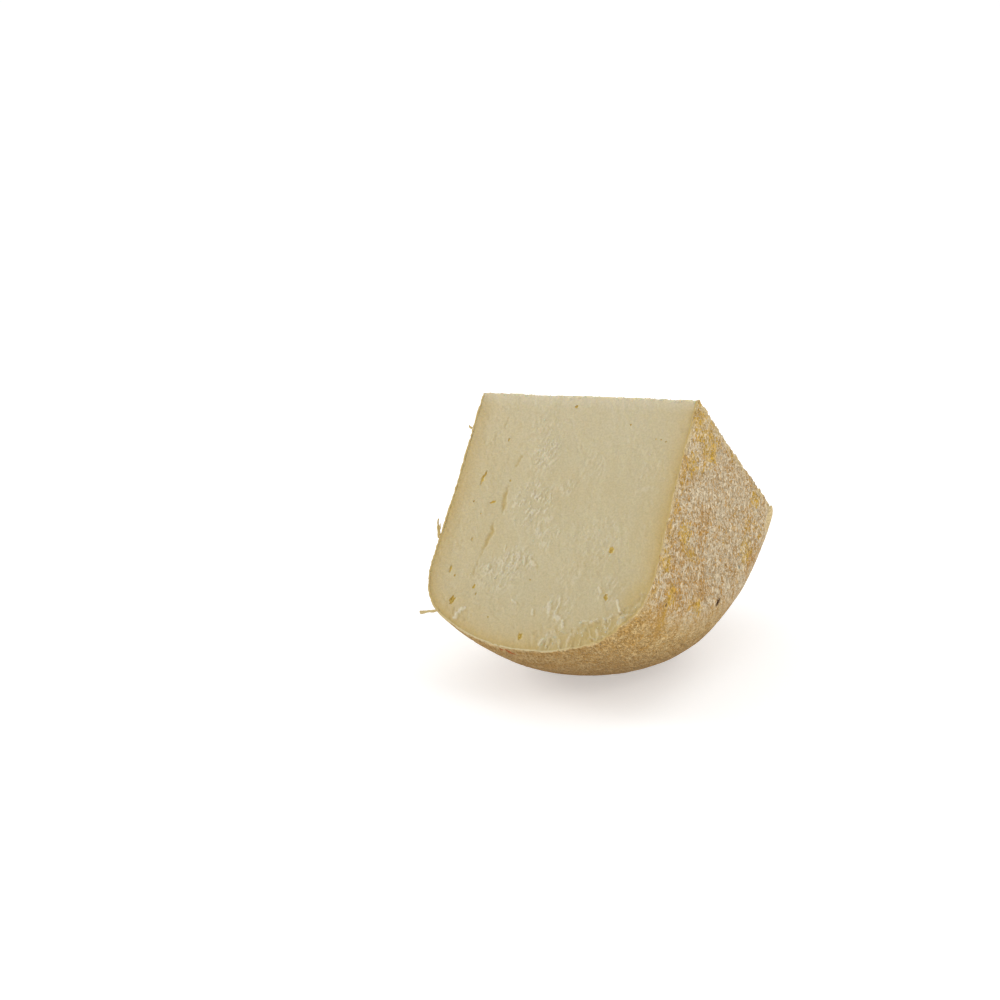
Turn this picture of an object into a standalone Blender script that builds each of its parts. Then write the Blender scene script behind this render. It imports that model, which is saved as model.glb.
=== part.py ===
"""A wedge of truffle pecorino, in metres, +Z up.

A small wheel is turned with a bulging side and two nearly flat faces. Two knife cuts
through its middle leave a sector a little under a quarter. The sector is stood up on its
rind with the crest, where the two cuts meet, on top. It leans the way it balances, one
end of the crest a little higher than the other, on a small flat spot under the rind.
"""

import math
import random

import bmesh
import bpy
from mathutils import Matrix, Vector, noise

# The wheel, whose axis is +Z while it is turned: +Z is the face on the wedge's +X side
WHEEL_RADIUS = 0.100
WHEEL_HALF_HEIGHT = 0.0448
CROWN_RADIUS = 0.0676
CROWN_CENTRE = WHEEL_RADIUS - CROWN_RADIUS
CROWN_OFFSET = 0.0024
PLUS_CORNER_RADIUS = 0.0291
MINUS_CORNER_RADIUS = 0.0229
FACE_DISH = 0.0013

# How finely the wheel is turned
TURN_STEPS = 132
FACE_RINGS = 15
CORNER_RINGS = 7
CROWN_RINGS = 12

# The rind's low bumps, and the fine cloth-like ones on top of them
RIND_SWELL = 0.00035
RIND_SWELL_WIDTH = 0.016
RIND_BUMP = 0.00012
RIND_BUMP_WIDTH = 0.005

# The two cuts
HALF_ANGLE = math.radians(42.45)
CUT_HALF_WIDTH = 0.050
CUT_REACH = 0.104
CUT_COLUMNS = 38
FRONT_ROWS = 42
BACK_ROWS = 26
ROW_CROWDING = 1.3
KNIFE_DROP = 0.24

# The relief of the cut paste
CUT_WAVE = 0.00030
CUT_WAVE_WIDTH = 0.022
DRAG_RIDGE = 0.00012
DRAG_RIDGE_WIDTH = 0.0045
DRAG_RIDGE_LENGTH = 0.018
FRONT_SLICE = 3.1
BACK_SLICE = -6.3
CREST_WEAR = 0.0003
CREST_WEAR_WIDTH = 0.012
CREST_CHIP = 0.0012
CREST_CHIP_WIDTH = 0.004
CRAG_DEPTH = 0.0014
CRAG_LIFT = 0.35
CRAG_WIDTH = 0.0066
FINE_CRAG_SHARE = 0.5
FINE_CRAG_WIDTH = 0.48
CRAG_BAND = 0.014
CRAG_BAND_FADE = 0.005
CRAG_ALONG = (0.015, 0.020)
RIM_BREAK = 0.0004
RIM_BREAK_BAND = 0.0125

# Torn places and one flake left standing, as (across, down, radius, depth) in the cut
TORN_PLACES = (
    (-0.0275, 0.0885, 0.0050, 0.0013),
    (0.0090, 0.0950, 0.0060, 0.0015),
    (0.0260, 0.0905, 0.0045, 0.0012),
    (0.0356, 0.0860, 0.0040, -0.0012),
)

# Eyes of the front cut, as (across, down, width, length, turn in degrees)
FRONT_EYES = (
    (-0.0320, 0.0828, 0.0024, 0.0032, 10),
    (-0.0012, 0.0947, 0.0018, 0.0031, -8),
    (0.0250, 0.0596, 0.0018, 0.0032, 4),
    (0.0277, 0.0775, 0.0021, 0.0030, -28),
    (-0.0302, 0.0116, 0.0012, 0.0040, 8),
    (-0.0334, 0.0346, 0.0013, 0.0066, 12),
    (-0.0363, 0.0707, 0.0012, 0.0034, 2),
    (-0.0221, 0.0430, 0.0011, 0.0096, 8),
    (-0.0249, 0.0614, 0.0011, 0.0148, 14),
    (-0.0267, 0.0439, 0.0017, 0.0012, 24),
    (-0.0249, 0.0769, 0.0012, 0.0020, 0),
    (-0.0039, 0.0045, 0.0014, 0.0017, 12),
)
BACK_EYES = 11
BACK_EYE_START = 0.014
BACK_EYE_PITCH = 0.0076
BACK_EYE_SPREAD = 0.030
BACK_EYE_WIDTH = (0.0013, 0.0024)
BACK_EYE_STRETCH = (1.2, 3.2)
BACK_EYE_TURN = 30
EYE_DEPTH_TO_WIDTH = 1.25
EYE_SIDES = 2

# How it stands
LEAN = math.radians(6.27)
STANDING = Matrix.Rotation(math.radians(90) - LEAN, 4, "Y")
FOOT_DEPTH = 0.0009

# Looks: colour, roughness
PASTE_LOOK = ((0.56, 0.47, 0.29, 1.0), 0.48)
RIND_LOOK = ((0.50, 0.36, 0.19, 1.0), 0.82)
SHARP_EDGE = math.radians(38)

NEAR_AXIS = 0.0001
RANDOM_SEED = 7


def clear_scene():
    for old in list(bpy.data.objects):
        bpy.data.objects.remove(old, do_unlink=True)


def new_collection(name):
    made = bpy.data.collections.new(name)
    bpy.context.scene.collection.children.link(made)
    return made


def new_material(name, look):
    made = bpy.data.materials.new(name)
    made.use_nodes = True
    colour, roughness = look
    shader = made.node_tree.nodes["Principled BSDF"]
    shader.inputs["Base Color"].default_value = colour
    shader.inputs["Roughness"].default_value = roughness
    shader.inputs["Metallic"].default_value = 0.0
    made.diffuse_color = colour
    return made


def new_object(name, collection, mesh, material):
    made = bpy.data.objects.new(name, mesh)
    mesh.materials.append(material)
    collection.objects.link(made)
    return made


def hide_cutter(cutter):
    cutter.hide_render = True
    cutter.display_type = "WIRE"


def ease(value):
    """0 below 0, 1 above 1, and a smooth rise between."""
    value = min(max(value, 0.0), 1.0)
    return value * value * (3.0 - 2.0 * value)


def ripple(x, y, z=0.0):
    """Smooth noise about 0, one swell for each unit."""
    return noise.noise(Vector((x, y, z)))


def corner(side, radius):
    """The round between a face and the side: its centre's height and radius, and where it ends."""
    height = side * (WHEEL_HALF_HEIGHT - radius)
    reach = math.sqrt((CROWN_RADIUS - radius) ** 2 - (height - CROWN_OFFSET) ** 2)
    join = math.atan2(height - CROWN_OFFSET, reach)
    return height, CROWN_CENTRE + reach, join


def face_point(side, centre, ring):
    """A point of a face on its way from the axis to its corner. The face sinks a little towards the axis."""
    share = ring / FACE_RINGS
    return share * centre, side * (WHEEL_HALF_HEIGHT - FACE_DISH * (1.0 - share**2))


def arc(centre, height, radius, start, end, rings):
    """Points of a round in the section, from one turn to just short of the other."""
    turns = [start + (end - start) * ring / rings for ring in range(rings)]
    return [(centre + radius * math.cos(t), height + radius * math.sin(t)) for t in turns]


def half_section():
    """Half of the wheel's section as (radius, height), from the middle of one face to that of the other."""
    plus_height, plus_centre, plus_join = corner(1, PLUS_CORNER_RADIUS)
    minus_height, minus_centre, minus_join = corner(-1, MINUS_CORNER_RADIUS)
    upright = math.pi / 2
    return (
        [face_point(1, plus_centre, ring) for ring in range(FACE_RINGS)]
        + arc(plus_centre, plus_height, PLUS_CORNER_RADIUS, upright, plus_join, CORNER_RINGS)
        + arc(CROWN_CENTRE, CROWN_OFFSET, CROWN_RADIUS, plus_join, minus_join, CROWN_RINGS)
        + arc(minus_centre, minus_height, MINUS_CORNER_RADIUS, minus_join, -upright, CORNER_RINGS)
        + [face_point(-1, minus_centre, ring) for ring in range(FACE_RINGS, -1, -1)]
    )


def turned_wheel(collection, rind):
    """The whole wheel, turned from its half section, with the rind's low bumps."""
    drawing = bmesh.new()
    corners = [drawing.verts.new((radius, 0.0, height)) for radius, height in half_section()]
    for first, second in zip(corners, corners[1:]):
        drawing.edges.new((first, second))
    outline = bpy.data.meshes.new("wheel_outline")
    drawing.to_mesh(outline)
    drawing.free()
    wheel = new_object("pecorino_wedge", collection, outline, rind)
    turn = wheel.modifiers.new("turned", "SCREW")
    turn.axis = "Z"
    turn.angle = 2 * math.pi
    turn.steps = TURN_STEPS
    turn.render_steps = TURN_STEPS
    turn.use_merge_vertices = True
    turn.merge_threshold = NEAR_AXIS
    apply_modifiers(wheel)
    for vert in wheel.data.vertices:
        place = vert.co
        swell = RIND_SWELL * ripple(*(place / RIND_SWELL_WIDTH))
        bump = RIND_BUMP * ripple(*(place / RIND_BUMP_WIDTH))
        vert.co = place + vert.normal * (swell + bump)
    wheel.data.transform(STANDING)
    return wheel


def rind_at(across):
    """How far the rind is from the axis at a place across the wheel, on its side or a corner."""
    side = 1 if across > CROWN_OFFSET else -1
    radius = PLUS_CORNER_RADIUS if side > 0 else MINUS_CORNER_RADIUS
    height, centre, join = corner(side, radius)
    if side * across < side * (height + radius * math.sin(join)):
        return CROWN_CENTRE + math.sqrt(CROWN_RADIUS**2 - (across - CROWN_OFFSET) ** 2)
    outward = min(abs(across - height), radius)
    return centre + math.sqrt(radius**2 - outward**2)


def knife_relief(across, down, noise_slice):
    """The waves and drag ridges that a knife leaves in smooth paste."""
    wave = ripple(across / CUT_WAVE_WIDTH, down / CUT_WAVE_WIDTH, noise_slice)
    drag = ripple(across / DRAG_RIDGE_WIDTH, down / DRAG_RIDGE_LENGTH, 2 * noise_slice)
    return CUT_WAVE * wave + DRAG_RIDGE * drag


def crag_share(across, down):
    """How torn the front cut is: 1 in the crumbled band along the rim, 0 in the smooth paste."""
    middle, half_length = CRAG_ALONG
    along = ease(1.0 - (abs(across - middle) - half_length) / half_length)
    inside = ease((down - (rind_at(across) - CRAG_BAND)) / CRAG_BAND_FADE)
    return along * inside


def front_depth(across, down):
    """How far the front cut lies under its flat plane."""
    torn = crag_share(across, down)
    spot = Vector((across / CRAG_WIDTH, down / CRAG_WIDTH, FRONT_SLICE))
    broken = CRAG_LIFT + noise.noise(spot, noise_basis="VORONOI_F2F1")
    broken += FINE_CRAG_SHARE * noise.noise(spot / FINE_CRAG_WIDTH)
    rim = ease(1.0 - (rind_at(across) - down) / RIM_BREAK_BAND)
    depth = knife_relief(across, down, FRONT_SLICE) + torn * (CRAG_DEPTH * broken + RIM_BREAK * rim)
    for place_across, place_down, radius, most in TORN_PLACES:
        away = math.hypot(across - place_across, down - place_down) / radius
        depth += most * ease(1.0 - away)
    return depth


def back_depth(across, down):
    """How far the back cut lies under its flat plane."""
    return knife_relief(across, down, BACK_SLICE)


def crest_drop(across):
    """How much of the crest has crumbled away."""
    worn = CREST_WEAR * ripple(across / CREST_WEAR_WIDTH, FRONT_SLICE)
    chip = CREST_CHIP * ripple(across / CREST_CHIP_WIDTH, BACK_SLICE)
    return CREST_WEAR + worn + max(chip, 0.0)


def cut_frame(side):
    """Unit vectors down the cut and into the wedge, for the front cut (1) and the back one (-1)."""
    down = Vector((math.cos(HALF_ANGLE), -side * math.sin(HALF_ANGLE), 0.0))
    inward = Vector((math.sin(HALF_ANGLE), side * math.cos(HALF_ANGLE), 0.0))
    return down, inward


def on_cut(side, across, down_by, depth):
    down, inward = cut_frame(side)
    return down * down_by + inward * depth + Vector((0.0, 0.0, across))


def down_at_row(share):
    """How far down the cut a row of the sheet lies: the rows crowd together towards the rind."""
    return CUT_REACH * (1.0 - (1.0 - share) ** ROW_CROWDING)


def knife_block(collection, paste):
    """The space between the cuts: a sheet with their relief, folded at the crest and drawn out into a block."""
    rows = FRONT_ROWS + BACK_ROWS
    block = bmesh.new()
    bmesh.ops.create_grid(block, x_segments=CUT_COLUMNS, y_segments=rows, size=1.0)
    for vert in block.verts:
        across = vert.co.x * CUT_HALF_WIDTH
        row = round((vert.co.y + 1.0) / 2.0 * rows) - BACK_ROWS
        if row > 0:
            down = down_at_row(row / FRONT_ROWS)
            vert.co = on_cut(1, across, down, front_depth(across, down))
        elif row < 0:
            down = down_at_row(-row / BACK_ROWS)
            vert.co = on_cut(-1, across, down, back_depth(across, down))
        else:
            vert.co = Vector((crest_drop(across), 0.0, across))
    drawn = bmesh.ops.extrude_face_region(block, geom=block.faces[:])
    moved = [item for item in drawn["geom"] if isinstance(item, bmesh.types.BMVert)]
    bmesh.ops.translate(block, verts=moved, vec=(KNIFE_DROP, 0.0, 0.0))
    bmesh.ops.recalc_face_normals(block, faces=block.faces[:])
    return finished_cutter("knife_cuts", block, collection, paste)


def finished_cutter(name, built, collection, paste):
    mesh = bpy.data.meshes.new(name)
    built.to_mesh(mesh)
    built.free()
    mesh.transform(STANDING)
    cutter = new_object(name, collection, mesh, paste)
    hide_cutter(cutter)
    return cutter


def add_eye(eyes, side, across, down, width, length, turn, depth):
    """One small opening, a flattened ball half sunk in the cut and turned in its plane."""
    down_way, inward = cut_frame(side)
    across_way = Vector((0.0, 0.0, 1.0))
    size = Matrix.Diagonal((width / 2, length / 2, EYE_DEPTH_TO_WIDTH * width, 1.0))
    turned = Matrix.Rotation(math.radians(turn), 4, "Z")
    axes = Matrix((across_way, down_way, inward)).transposed().to_4x4()
    place = Matrix.Translation(on_cut(side, across, down, depth))
    bmesh.ops.create_icosphere(
        eyes, subdivisions=EYE_SIDES, radius=1.0, matrix=place @ axes @ turned @ size
    )


def eye_cutters(collection, paste):
    """All the eyes: those of the front cut where they lie, and a seeded scatter of like ones on the back."""
    eyes = bmesh.new()
    for across, down, width, length, turn in FRONT_EYES:
        add_eye(eyes, 1, across, down, width, length, turn, front_depth(across, down))
    draw = random.Random(RANDOM_SEED)
    for number in range(BACK_EYES):
        down = BACK_EYE_START + BACK_EYE_PITCH * number
        across = draw.uniform(-BACK_EYE_SPREAD, BACK_EYE_SPREAD)
        width = draw.uniform(*BACK_EYE_WIDTH)
        length = width * draw.uniform(*BACK_EYE_STRETCH)
        turn = draw.uniform(-BACK_EYE_TURN, BACK_EYE_TURN)
        add_eye(eyes, -1, across, down, width, length, turn, back_depth(across, down))
    bmesh.ops.recalc_face_normals(eyes, faces=eyes.faces[:])
    return finished_cutter("eye_openings", eyes, collection, paste)


def foot_cutter(collection, rind, wheel):
    """The table top that flattens the lowest spot of the rind."""
    lowest = min(vert.co.z for vert in wheel.data.vertices)
    side = 2 * WHEEL_RADIUS
    block = bmesh.new()
    bmesh.ops.create_cube(block, size=side)
    bmesh.ops.translate(block, verts=block.verts[:], vec=(0, 0, lowest + FOOT_DEPTH - side / 2))
    mesh = bpy.data.meshes.new("foot_plane")
    block.to_mesh(mesh)
    block.free()
    cutter = new_object("foot_plane", collection, mesh, rind)
    hide_cutter(cutter)
    return cutter


def add_boolean(target, cutter, operation, name):
    made = target.modifiers.new(name, "BOOLEAN")
    made.operation = operation
    made.object = cutter
    made.solver = "EXACT"
    made.material_mode = "TRANSFER"


def apply_modifiers(target):
    graph = bpy.context.evaluated_depsgraph_get()
    solved = bpy.data.meshes.new_from_object(target.evaluated_get(graph))
    target.modifiers.clear()
    target.data = solved


def island_from(face, left):
    """The faces that hang together with one, over edges that only two faces share, taken out of those left."""
    left.discard(face)
    island = [face]
    for known in island:
        whole = [edge for edge in known.edges if len(edge.link_faces) == 2]
        near = {other for edge in whole for other in edge.link_faces} & left
        left -= near
        island.extend(sorted(near, key=lambda other: other.index))
    return island


def drop_scraps(wedge):
    """Lets the crumbs fall that the cuts leave loose at the rim."""
    built = bmesh.new()
    built.from_mesh(wedge.data)
    left = set(built.faces)
    islands = []
    while left:
        islands.append(island_from(next(iter(left)), left))
    largest = max(islands, key=len)
    scraps = [face for island in islands if island is not largest for face in island]
    bmesh.ops.delete(built, geom=scraps, context="FACES")
    built.to_mesh(wedge.data)
    built.free()


def stand_on_origin(wedge):
    """Puts the middle of the wedge's box, at its lowest height, on the origin."""
    places = [vert.co for vert in wedge.data.vertices]
    middle = [(min(p[axis] for p in places) + max(p[axis] for p in places)) / 2 for axis in (0, 1)]
    lowest = min(p.z for p in places)
    wedge.data.transform(Matrix.Translation((-middle[0], -middle[1], -lowest)))


def main():
    clear_scene()
    pieces = new_collection("truffle_pecorino")
    cutters = new_collection("cutters")
    cutters.hide_render = True
    paste = new_material("pecorino_paste", PASTE_LOOK)
    rind = new_material("pecorino_rind", RIND_LOOK)
    wedge = turned_wheel(pieces, rind)
    add_boolean(wedge, knife_block(cutters, paste), "INTERSECT", "two cuts")
    add_boolean(wedge, eye_cutters(cutters, paste), "DIFFERENCE", "eyes")
    add_boolean(wedge, foot_cutter(cutters, rind, wedge), "DIFFERENCE", "foot")
    apply_modifiers(wedge)
    drop_scraps(wedge)
    stand_on_origin(wedge)
    wedge.data.shade_smooth()
    wedge.data.set_sharp_from_angle(angle=SHARP_EDGE)
    for cutter in list(cutters.objects):
        bpy.data.objects.remove(cutter, do_unlink=True)
    bpy.data.collections.remove(cutters)


main()
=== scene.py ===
"""The looks of a wedge of truffle pecorino, laid out as an add-on for Blender 4.5.

The wedge is two main pieces round the same cuts: the paste with its knife marks, torn band
and eyes, and the thin bloomed rind that wraps it. Loose threads of rind and crumbs of paste
are pieces of their own. Every size is in metres, in the frame of the solid that they dress.
"""

import math
import random

import bmesh
import bpy
from bpy.props import FloatProperty, FloatVectorProperty, PointerProperty
from mathutils import Matrix, Vector, noise
from mathutils.kdtree import KDTree


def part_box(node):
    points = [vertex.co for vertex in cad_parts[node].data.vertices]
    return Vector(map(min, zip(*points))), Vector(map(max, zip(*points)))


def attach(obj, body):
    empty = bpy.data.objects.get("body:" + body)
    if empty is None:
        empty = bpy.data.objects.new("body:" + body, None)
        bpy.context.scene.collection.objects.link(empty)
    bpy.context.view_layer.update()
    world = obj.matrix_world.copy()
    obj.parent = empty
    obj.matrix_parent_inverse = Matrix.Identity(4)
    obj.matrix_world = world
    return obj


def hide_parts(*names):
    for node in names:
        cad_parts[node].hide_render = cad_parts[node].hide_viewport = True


bl_info = {
    "name": "Pecorino Wedge",
    "version": (1, 0, 0),
    "blender": (4, 5, 0),
    "location": "View3D > Sidebar > Pecorino",
    "description": "Builds a wedge of pecorino with its rind, crumbs and a plain stage",
    "category": "Add Mesh",
}

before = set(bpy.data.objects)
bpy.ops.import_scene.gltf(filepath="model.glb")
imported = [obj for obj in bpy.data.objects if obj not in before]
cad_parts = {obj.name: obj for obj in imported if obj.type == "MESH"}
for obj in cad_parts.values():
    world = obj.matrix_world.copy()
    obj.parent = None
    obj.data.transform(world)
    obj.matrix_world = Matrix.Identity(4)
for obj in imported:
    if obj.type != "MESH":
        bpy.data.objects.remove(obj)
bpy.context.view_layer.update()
NODE = "pecorino_wedge"
BODY = "root"
LOW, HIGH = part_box(NODE)

# The seed of every random draw and of the noise that pushes points about, which is otherwise taken
# from the clock, and slices through the noise, so that each kind of mark has a pattern of its own
RANDOM_SEED = 7
FRONT_SLICE = 3.1
BACK_SLICE = -6.3
OUTLINE_SLICE = 9.4
FLAKE_SLICE = 8.2
LIP_SLICE = 5.7
FINE_LIP_SLICE = 2.3

# The wheel's outline is turned in rings: fine between the cuts and a little past them, coarse elsewhere
SPARE_TURN = math.radians(4)
COARSE_STEPS = 28
FEWEST_STEPS = 10
SWELL_WIDTH = 0.016
BUMP_WIDTH = 0.005

# How fine the hidden walls are, the section that distances are measured from, and the outline that
# places the wedge
HIDDEN_SPACING = 0.003
FINDER_SPACING = 0.0003
OUTLINE_SPACING = 0.002
OUTLINE_STEPS = 40

# How far the paste lies under the rind's skin, and how far it and the rind's hollow stay off the table
PASTE_INSET = 0.00032
PASTE_LIFT = 0.00025
HOLLOW_LIFT = 0.0005

# The bloom's pattern is rolled round the wheel's side, squeezed along it and a little finer than on the face
STREAK_SHARE = 0.042
SIDE_FINER = 1.65

# The sheet that the knife leaves, as wide and long as needed to pass right through the wheel
CUT_HALF_WIDTH = 0.050
CUT_REACH = 0.104
KNIFE_DROP = 0.24
KNIFE_POINT = 0.5
BACK_COARSER = 1.6

# The knife's marks and the paste's own grain on the cuts, each with the (width, length) of one swell
WAVES = (0.022, 0.022)
DRAG_RIDGES = (0.0045, 0.018)
FINE_GRAIN = (0.0012, 0.0017)
COARSE_GRAIN = (0.0030, 0.0045)
PLATES = (0.013, 0.013)
PLATE_EDGE = 12.0
PLATE_LEVEL = 0.28

# How wide the crest's worn places, chips and nicks are, the painted highlight along the crest, and the strips
# of painted light under it as (amount, reach)
CREST_WEAR_WIDTH = 0.012
CREST_CHIP_WIDTH = 0.004
CREST_NICK_WIDTH = 0.0013
CREST_HIGHLIGHT = 0.0014
CREST_CRUMBS = 0.0010
PAINTED_LIGHT_STRIPS = ((0.30, 0.045), (0.55, 0.006))

# The torn band along the front cut's rim. It has a middle, half a length and a fade across the wheel, and
# a top that swings and frays with the (width, length) of one swell.
CRAG_ALONG = (0.0255, 0.0150, 0.005)
CRAG_BAND = 0.0088
CRAG_BAND_FADE = 0.0009
CRAG_BAND_SWING = 0.0030
BAND_SWINGS = (0.0050, 0.0100)
BAND_FRAYS = (0.0016, 0.0030)
CRAG_STRETCH = 2.4
CRAG_SIZES = ((1.0, 0.80), (0.33, 0.20))
RIM_BREAK_BAND = 0.0125

# Torn places and one flake left standing, as (across, down, radius, depth) in the front cut
TORN_PLACES = (
    (-0.0275, 0.0885, 0.0044, 0.00030),
    (0.0090, 0.0950, 0.0050, 0.00020),
    (0.0260, 0.0905, 0.0040, 0.00045),
    (0.0372, 0.0860, 0.0034, -0.00050),
)
TORN_EDGE = (0.0017, 0.0023)

# Where the knife dragged the paste up in small tongues, as (across, down, half width, half length, strength)
SMEARS = (
    (-0.0108, 0.0241, 0.0050, 0.0060, 0.9),
    (-0.0134, 0.0140, 0.0060, 0.0060, 0.5),
    (-0.0102, 0.0432, 0.0075, 0.0080, 1.0),
    (-0.0018, 0.0545, 0.0050, 0.0060, 0.6),
    (-0.0096, 0.0652, 0.0070, 0.0040, 0.7),
    (-0.0164, 0.0711, 0.0090, 0.0060, 0.6),
    (0.0012, 0.0366, 0.0030, 0.0030, 0.7),
    (0.0091, 0.0275, 0.0050, 0.0050, 0.5),
    (0.0122, 0.0704, 0.0050, 0.0050, 0.35),
    (0.0284, 0.0750, 0.0050, 0.0050, 0.5),
    (0.0110, 0.0828, 0.0060, 0.0050, 0.45),
    (0.0318, 0.0280, 0.0060, 0.0100, 0.35),
    (0.0197, 0.0560, 0.0090, 0.0100, 0.35),
)
SMEAR_LEAN = math.radians(18)
SMEAR_FADE = 1.6
SMEAR_STROKES = (0.00072, 0.0031)
SMEAR_GAPS = (0.0031, 0.0026)
SMEAR_PATCHES = (0.0050, 0.0060)
SMEAR_LINE = 0.055

# Single flakes left standing on the front cut, as (half width, ((across, down), ...))
FLAKES = (
    (0.0008, ((0.0112, 0.0920), (0.0095, 0.0938), (0.0080, 0.0955), (0.0073, 0.0970))),
    (0.0004, ((0.0101, 0.0945), (0.0097, 0.0977))),
    (0.0004, ((0.0115, 0.0945), (0.0116, 0.0950))),
    (0.0004, ((0.0143, 0.0947), (0.0149, 0.0983))),
    (0.0004, ((0.0181, 0.0922), (0.0175, 0.0949), (0.0177, 0.0980))),
    (0.0005, ((0.0272, 0.0898), (0.0282, 0.0922), (0.0279, 0.0950))),
    (0.0003, ((0.0205, 0.0880), (0.0217, 0.0874), (0.0235, 0.0869))),
    (0.0003, ((0.0242, 0.0876), (0.0255, 0.0871), (0.0268, 0.0862))),
    (0.0005, ((0.0294, 0.0859), (0.0308, 0.0854), (0.0321, 0.0843))),
    (0.0003, ((0.0297, 0.0860), (0.0300, 0.0872))),
    (0.0003, ((0.0308, 0.0855), (0.0310, 0.0868))),
    (0.0004, ((0.0324, 0.0783), (0.0334, 0.0805), (0.0348, 0.0830))),
    (0.0012, ((0.0364, 0.0850), (0.0356, 0.0866), (0.0360, 0.0880))),
    (0.0004, ((0.0375, 0.0842), (0.0405, 0.0828))),
    (0.0003, ((0.0103, 0.0790), (0.0107, 0.0824), (0.0098, 0.0850))),
    (0.0008, ((0.0069, 0.0815), (0.0075, 0.0846))),
    (0.0008, ((0.0105, 0.0862), (0.0122, 0.0870))),
    (0.0006, ((0.0135, 0.0876), (0.0143, 0.0900))),
    (0.0003, ((-0.0148, 0.0629), (-0.0147, 0.0648), (-0.0153, 0.0662))),
    (0.0003, ((-0.0128, 0.0635), (-0.0124, 0.0656), (-0.0126, 0.0670))),
    (0.0003, ((-0.0097, 0.0644), (-0.0102, 0.0658), (-0.0103, 0.0678), (-0.0103, 0.0695))),
    (0.0003, ((-0.0081, 0.0640), (-0.0075, 0.0657), (-0.0074, 0.0673))),
    (0.0003, ((-0.0059, 0.0644), (-0.0051, 0.0657))),
    (0.0007, ((-0.0046, 0.0663), (-0.0032, 0.0674))),
    (0.0002, ((-0.0163, 0.0662), (-0.0154, 0.0695), (-0.0151, 0.0711))),
    (0.0002, ((-0.0190, 0.0676), (-0.0191, 0.0697), (-0.0194, 0.0711))),
    (0.0003, ((-0.0214, 0.0679), (-0.0211, 0.0702))),
    (0.0002, ((-0.0168, 0.0602), (-0.0167, 0.0629))),
    (0.0004, ((0.0243, 0.0742), (0.0256, 0.0760))),
    (0.0005, ((0.0436, 0.0800), (0.0450, 0.0797))),
    (0.0004, ((0.0440, 0.0765), (0.0446, 0.0750))),
    (0.0007, ((-0.0291, 0.0892), (-0.0286, 0.0875), (-0.0274, 0.0860), (-0.0261, 0.0854))),
    (0.0004, ((0.0301, 0.0883), (0.0309, 0.0897))),
    (0.0004, ((-0.0080, 0.0812), (-0.0062, 0.0822))),
    (0.0004, ((0.0010, 0.0843), (0.0013, 0.0860))),
)
FLAKES_ACROSS = (-0.032, 0.047)
FLAKES_DOWN = (0.059, 0.100)
FLAKE_HEIGHT = 0.00030
FLAKE_EDGE = (0.0009, 0.0009)
# The painted shade beside each flake, moved this far towards +across and down
FLAKE_SHADE = (0.0009, 0.0003)

# The drier golden paste where the rim turns the lower +X corner, as (across, down, radius)
GOLDEN_PLACE = (0.0415, 0.0775, 0.0075)

# Shallow tears that the knife left, each a line of (across, down, half width) in the front cut
TEARS = (
    (
        (-0.0224, 0.0372, 0.0003),
        (-0.0224, 0.0390, 0.0004),
        (-0.0224, 0.0410, 0.0006),
        (-0.0220, 0.0446, 0.0007),
        (-0.0215, 0.0476, 0.0002),
        (-0.0229, 0.0494, 0.0001),
        (-0.0240, 0.0515, 0.0002),
        (-0.0238, 0.0545, 0.0006),
        (-0.0239, 0.0570, 0.0007),
        (-0.0249, 0.0618, 0.0004),
        (-0.0258, 0.0655, 0.0002),
        (-0.0266, 0.0725, 0.0003),
    ),
    ((-0.0296, 0.0098, 0.0002), (-0.0307, 0.0134, 0.0003)),
    ((-0.0202, 0.0250, 0.0004), (-0.0214, 0.0290, 0.0004)),
    ((-0.0330, 0.0160, 0.0002), (-0.0334, 0.0190, 0.0002)),
)
TEARS_ACROSS = (-0.036, -0.018)
TEAR_DEPTH = 0.00042
TEAR_FULL_WIDTH = 0.0005
TEAR_FADE = 1.7
TEAR_SWING = 0.0005
TEAR_SWING_LENGTH = 0.0016

# How deep under the front cut its marks are looked for, and the same for the eyes of both cuts
FRONT_MARK_DEPTH = 0.004
EYE_MARK_DEPTH = 0.005
EYE_START = 0.00005
EYE_FADE = 0.00025
# From these depths on, the torn paste's golden colour deepens in the hollows as painted shade
TORN_SHADE_DEPTHS = (0.0001, 0.0009)

# Painted shade on the front cut, darker low down and towards its -X rim, as (amount, start, end)
PAINTED_SHADE_DOWN = (0.030, 0.060, 0.080)
PAINTED_SHADE_ACROSS = (0.050, -0.034, -0.044)

# Eyes of the front cut, as (across, down, width, length, turn in degrees)
FRONT_EYES = (
    (-0.0320, 0.0828, 0.0024, 0.0032, 10),
    (-0.0012, 0.0947, 0.0018, 0.0031, -8),
    (0.0250, 0.0596, 0.0018, 0.0032, 4),
    (0.0279, 0.0778, 0.0017, 0.0027, -28),
    (-0.0334, 0.0346, 0.0012, 0.0064, 12),
    (-0.0363, 0.0707, 0.0012, 0.0034, 2),
    (-0.0267, 0.0439, 0.0011, 0.0026, 62),
    (-0.0222, 0.0350, 0.0008, 0.0013, 30),
    (-0.0249, 0.0769, 0.0012, 0.0020, 0),
    (-0.0039, 0.0045, 0.0014, 0.0017, 12),
)

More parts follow.
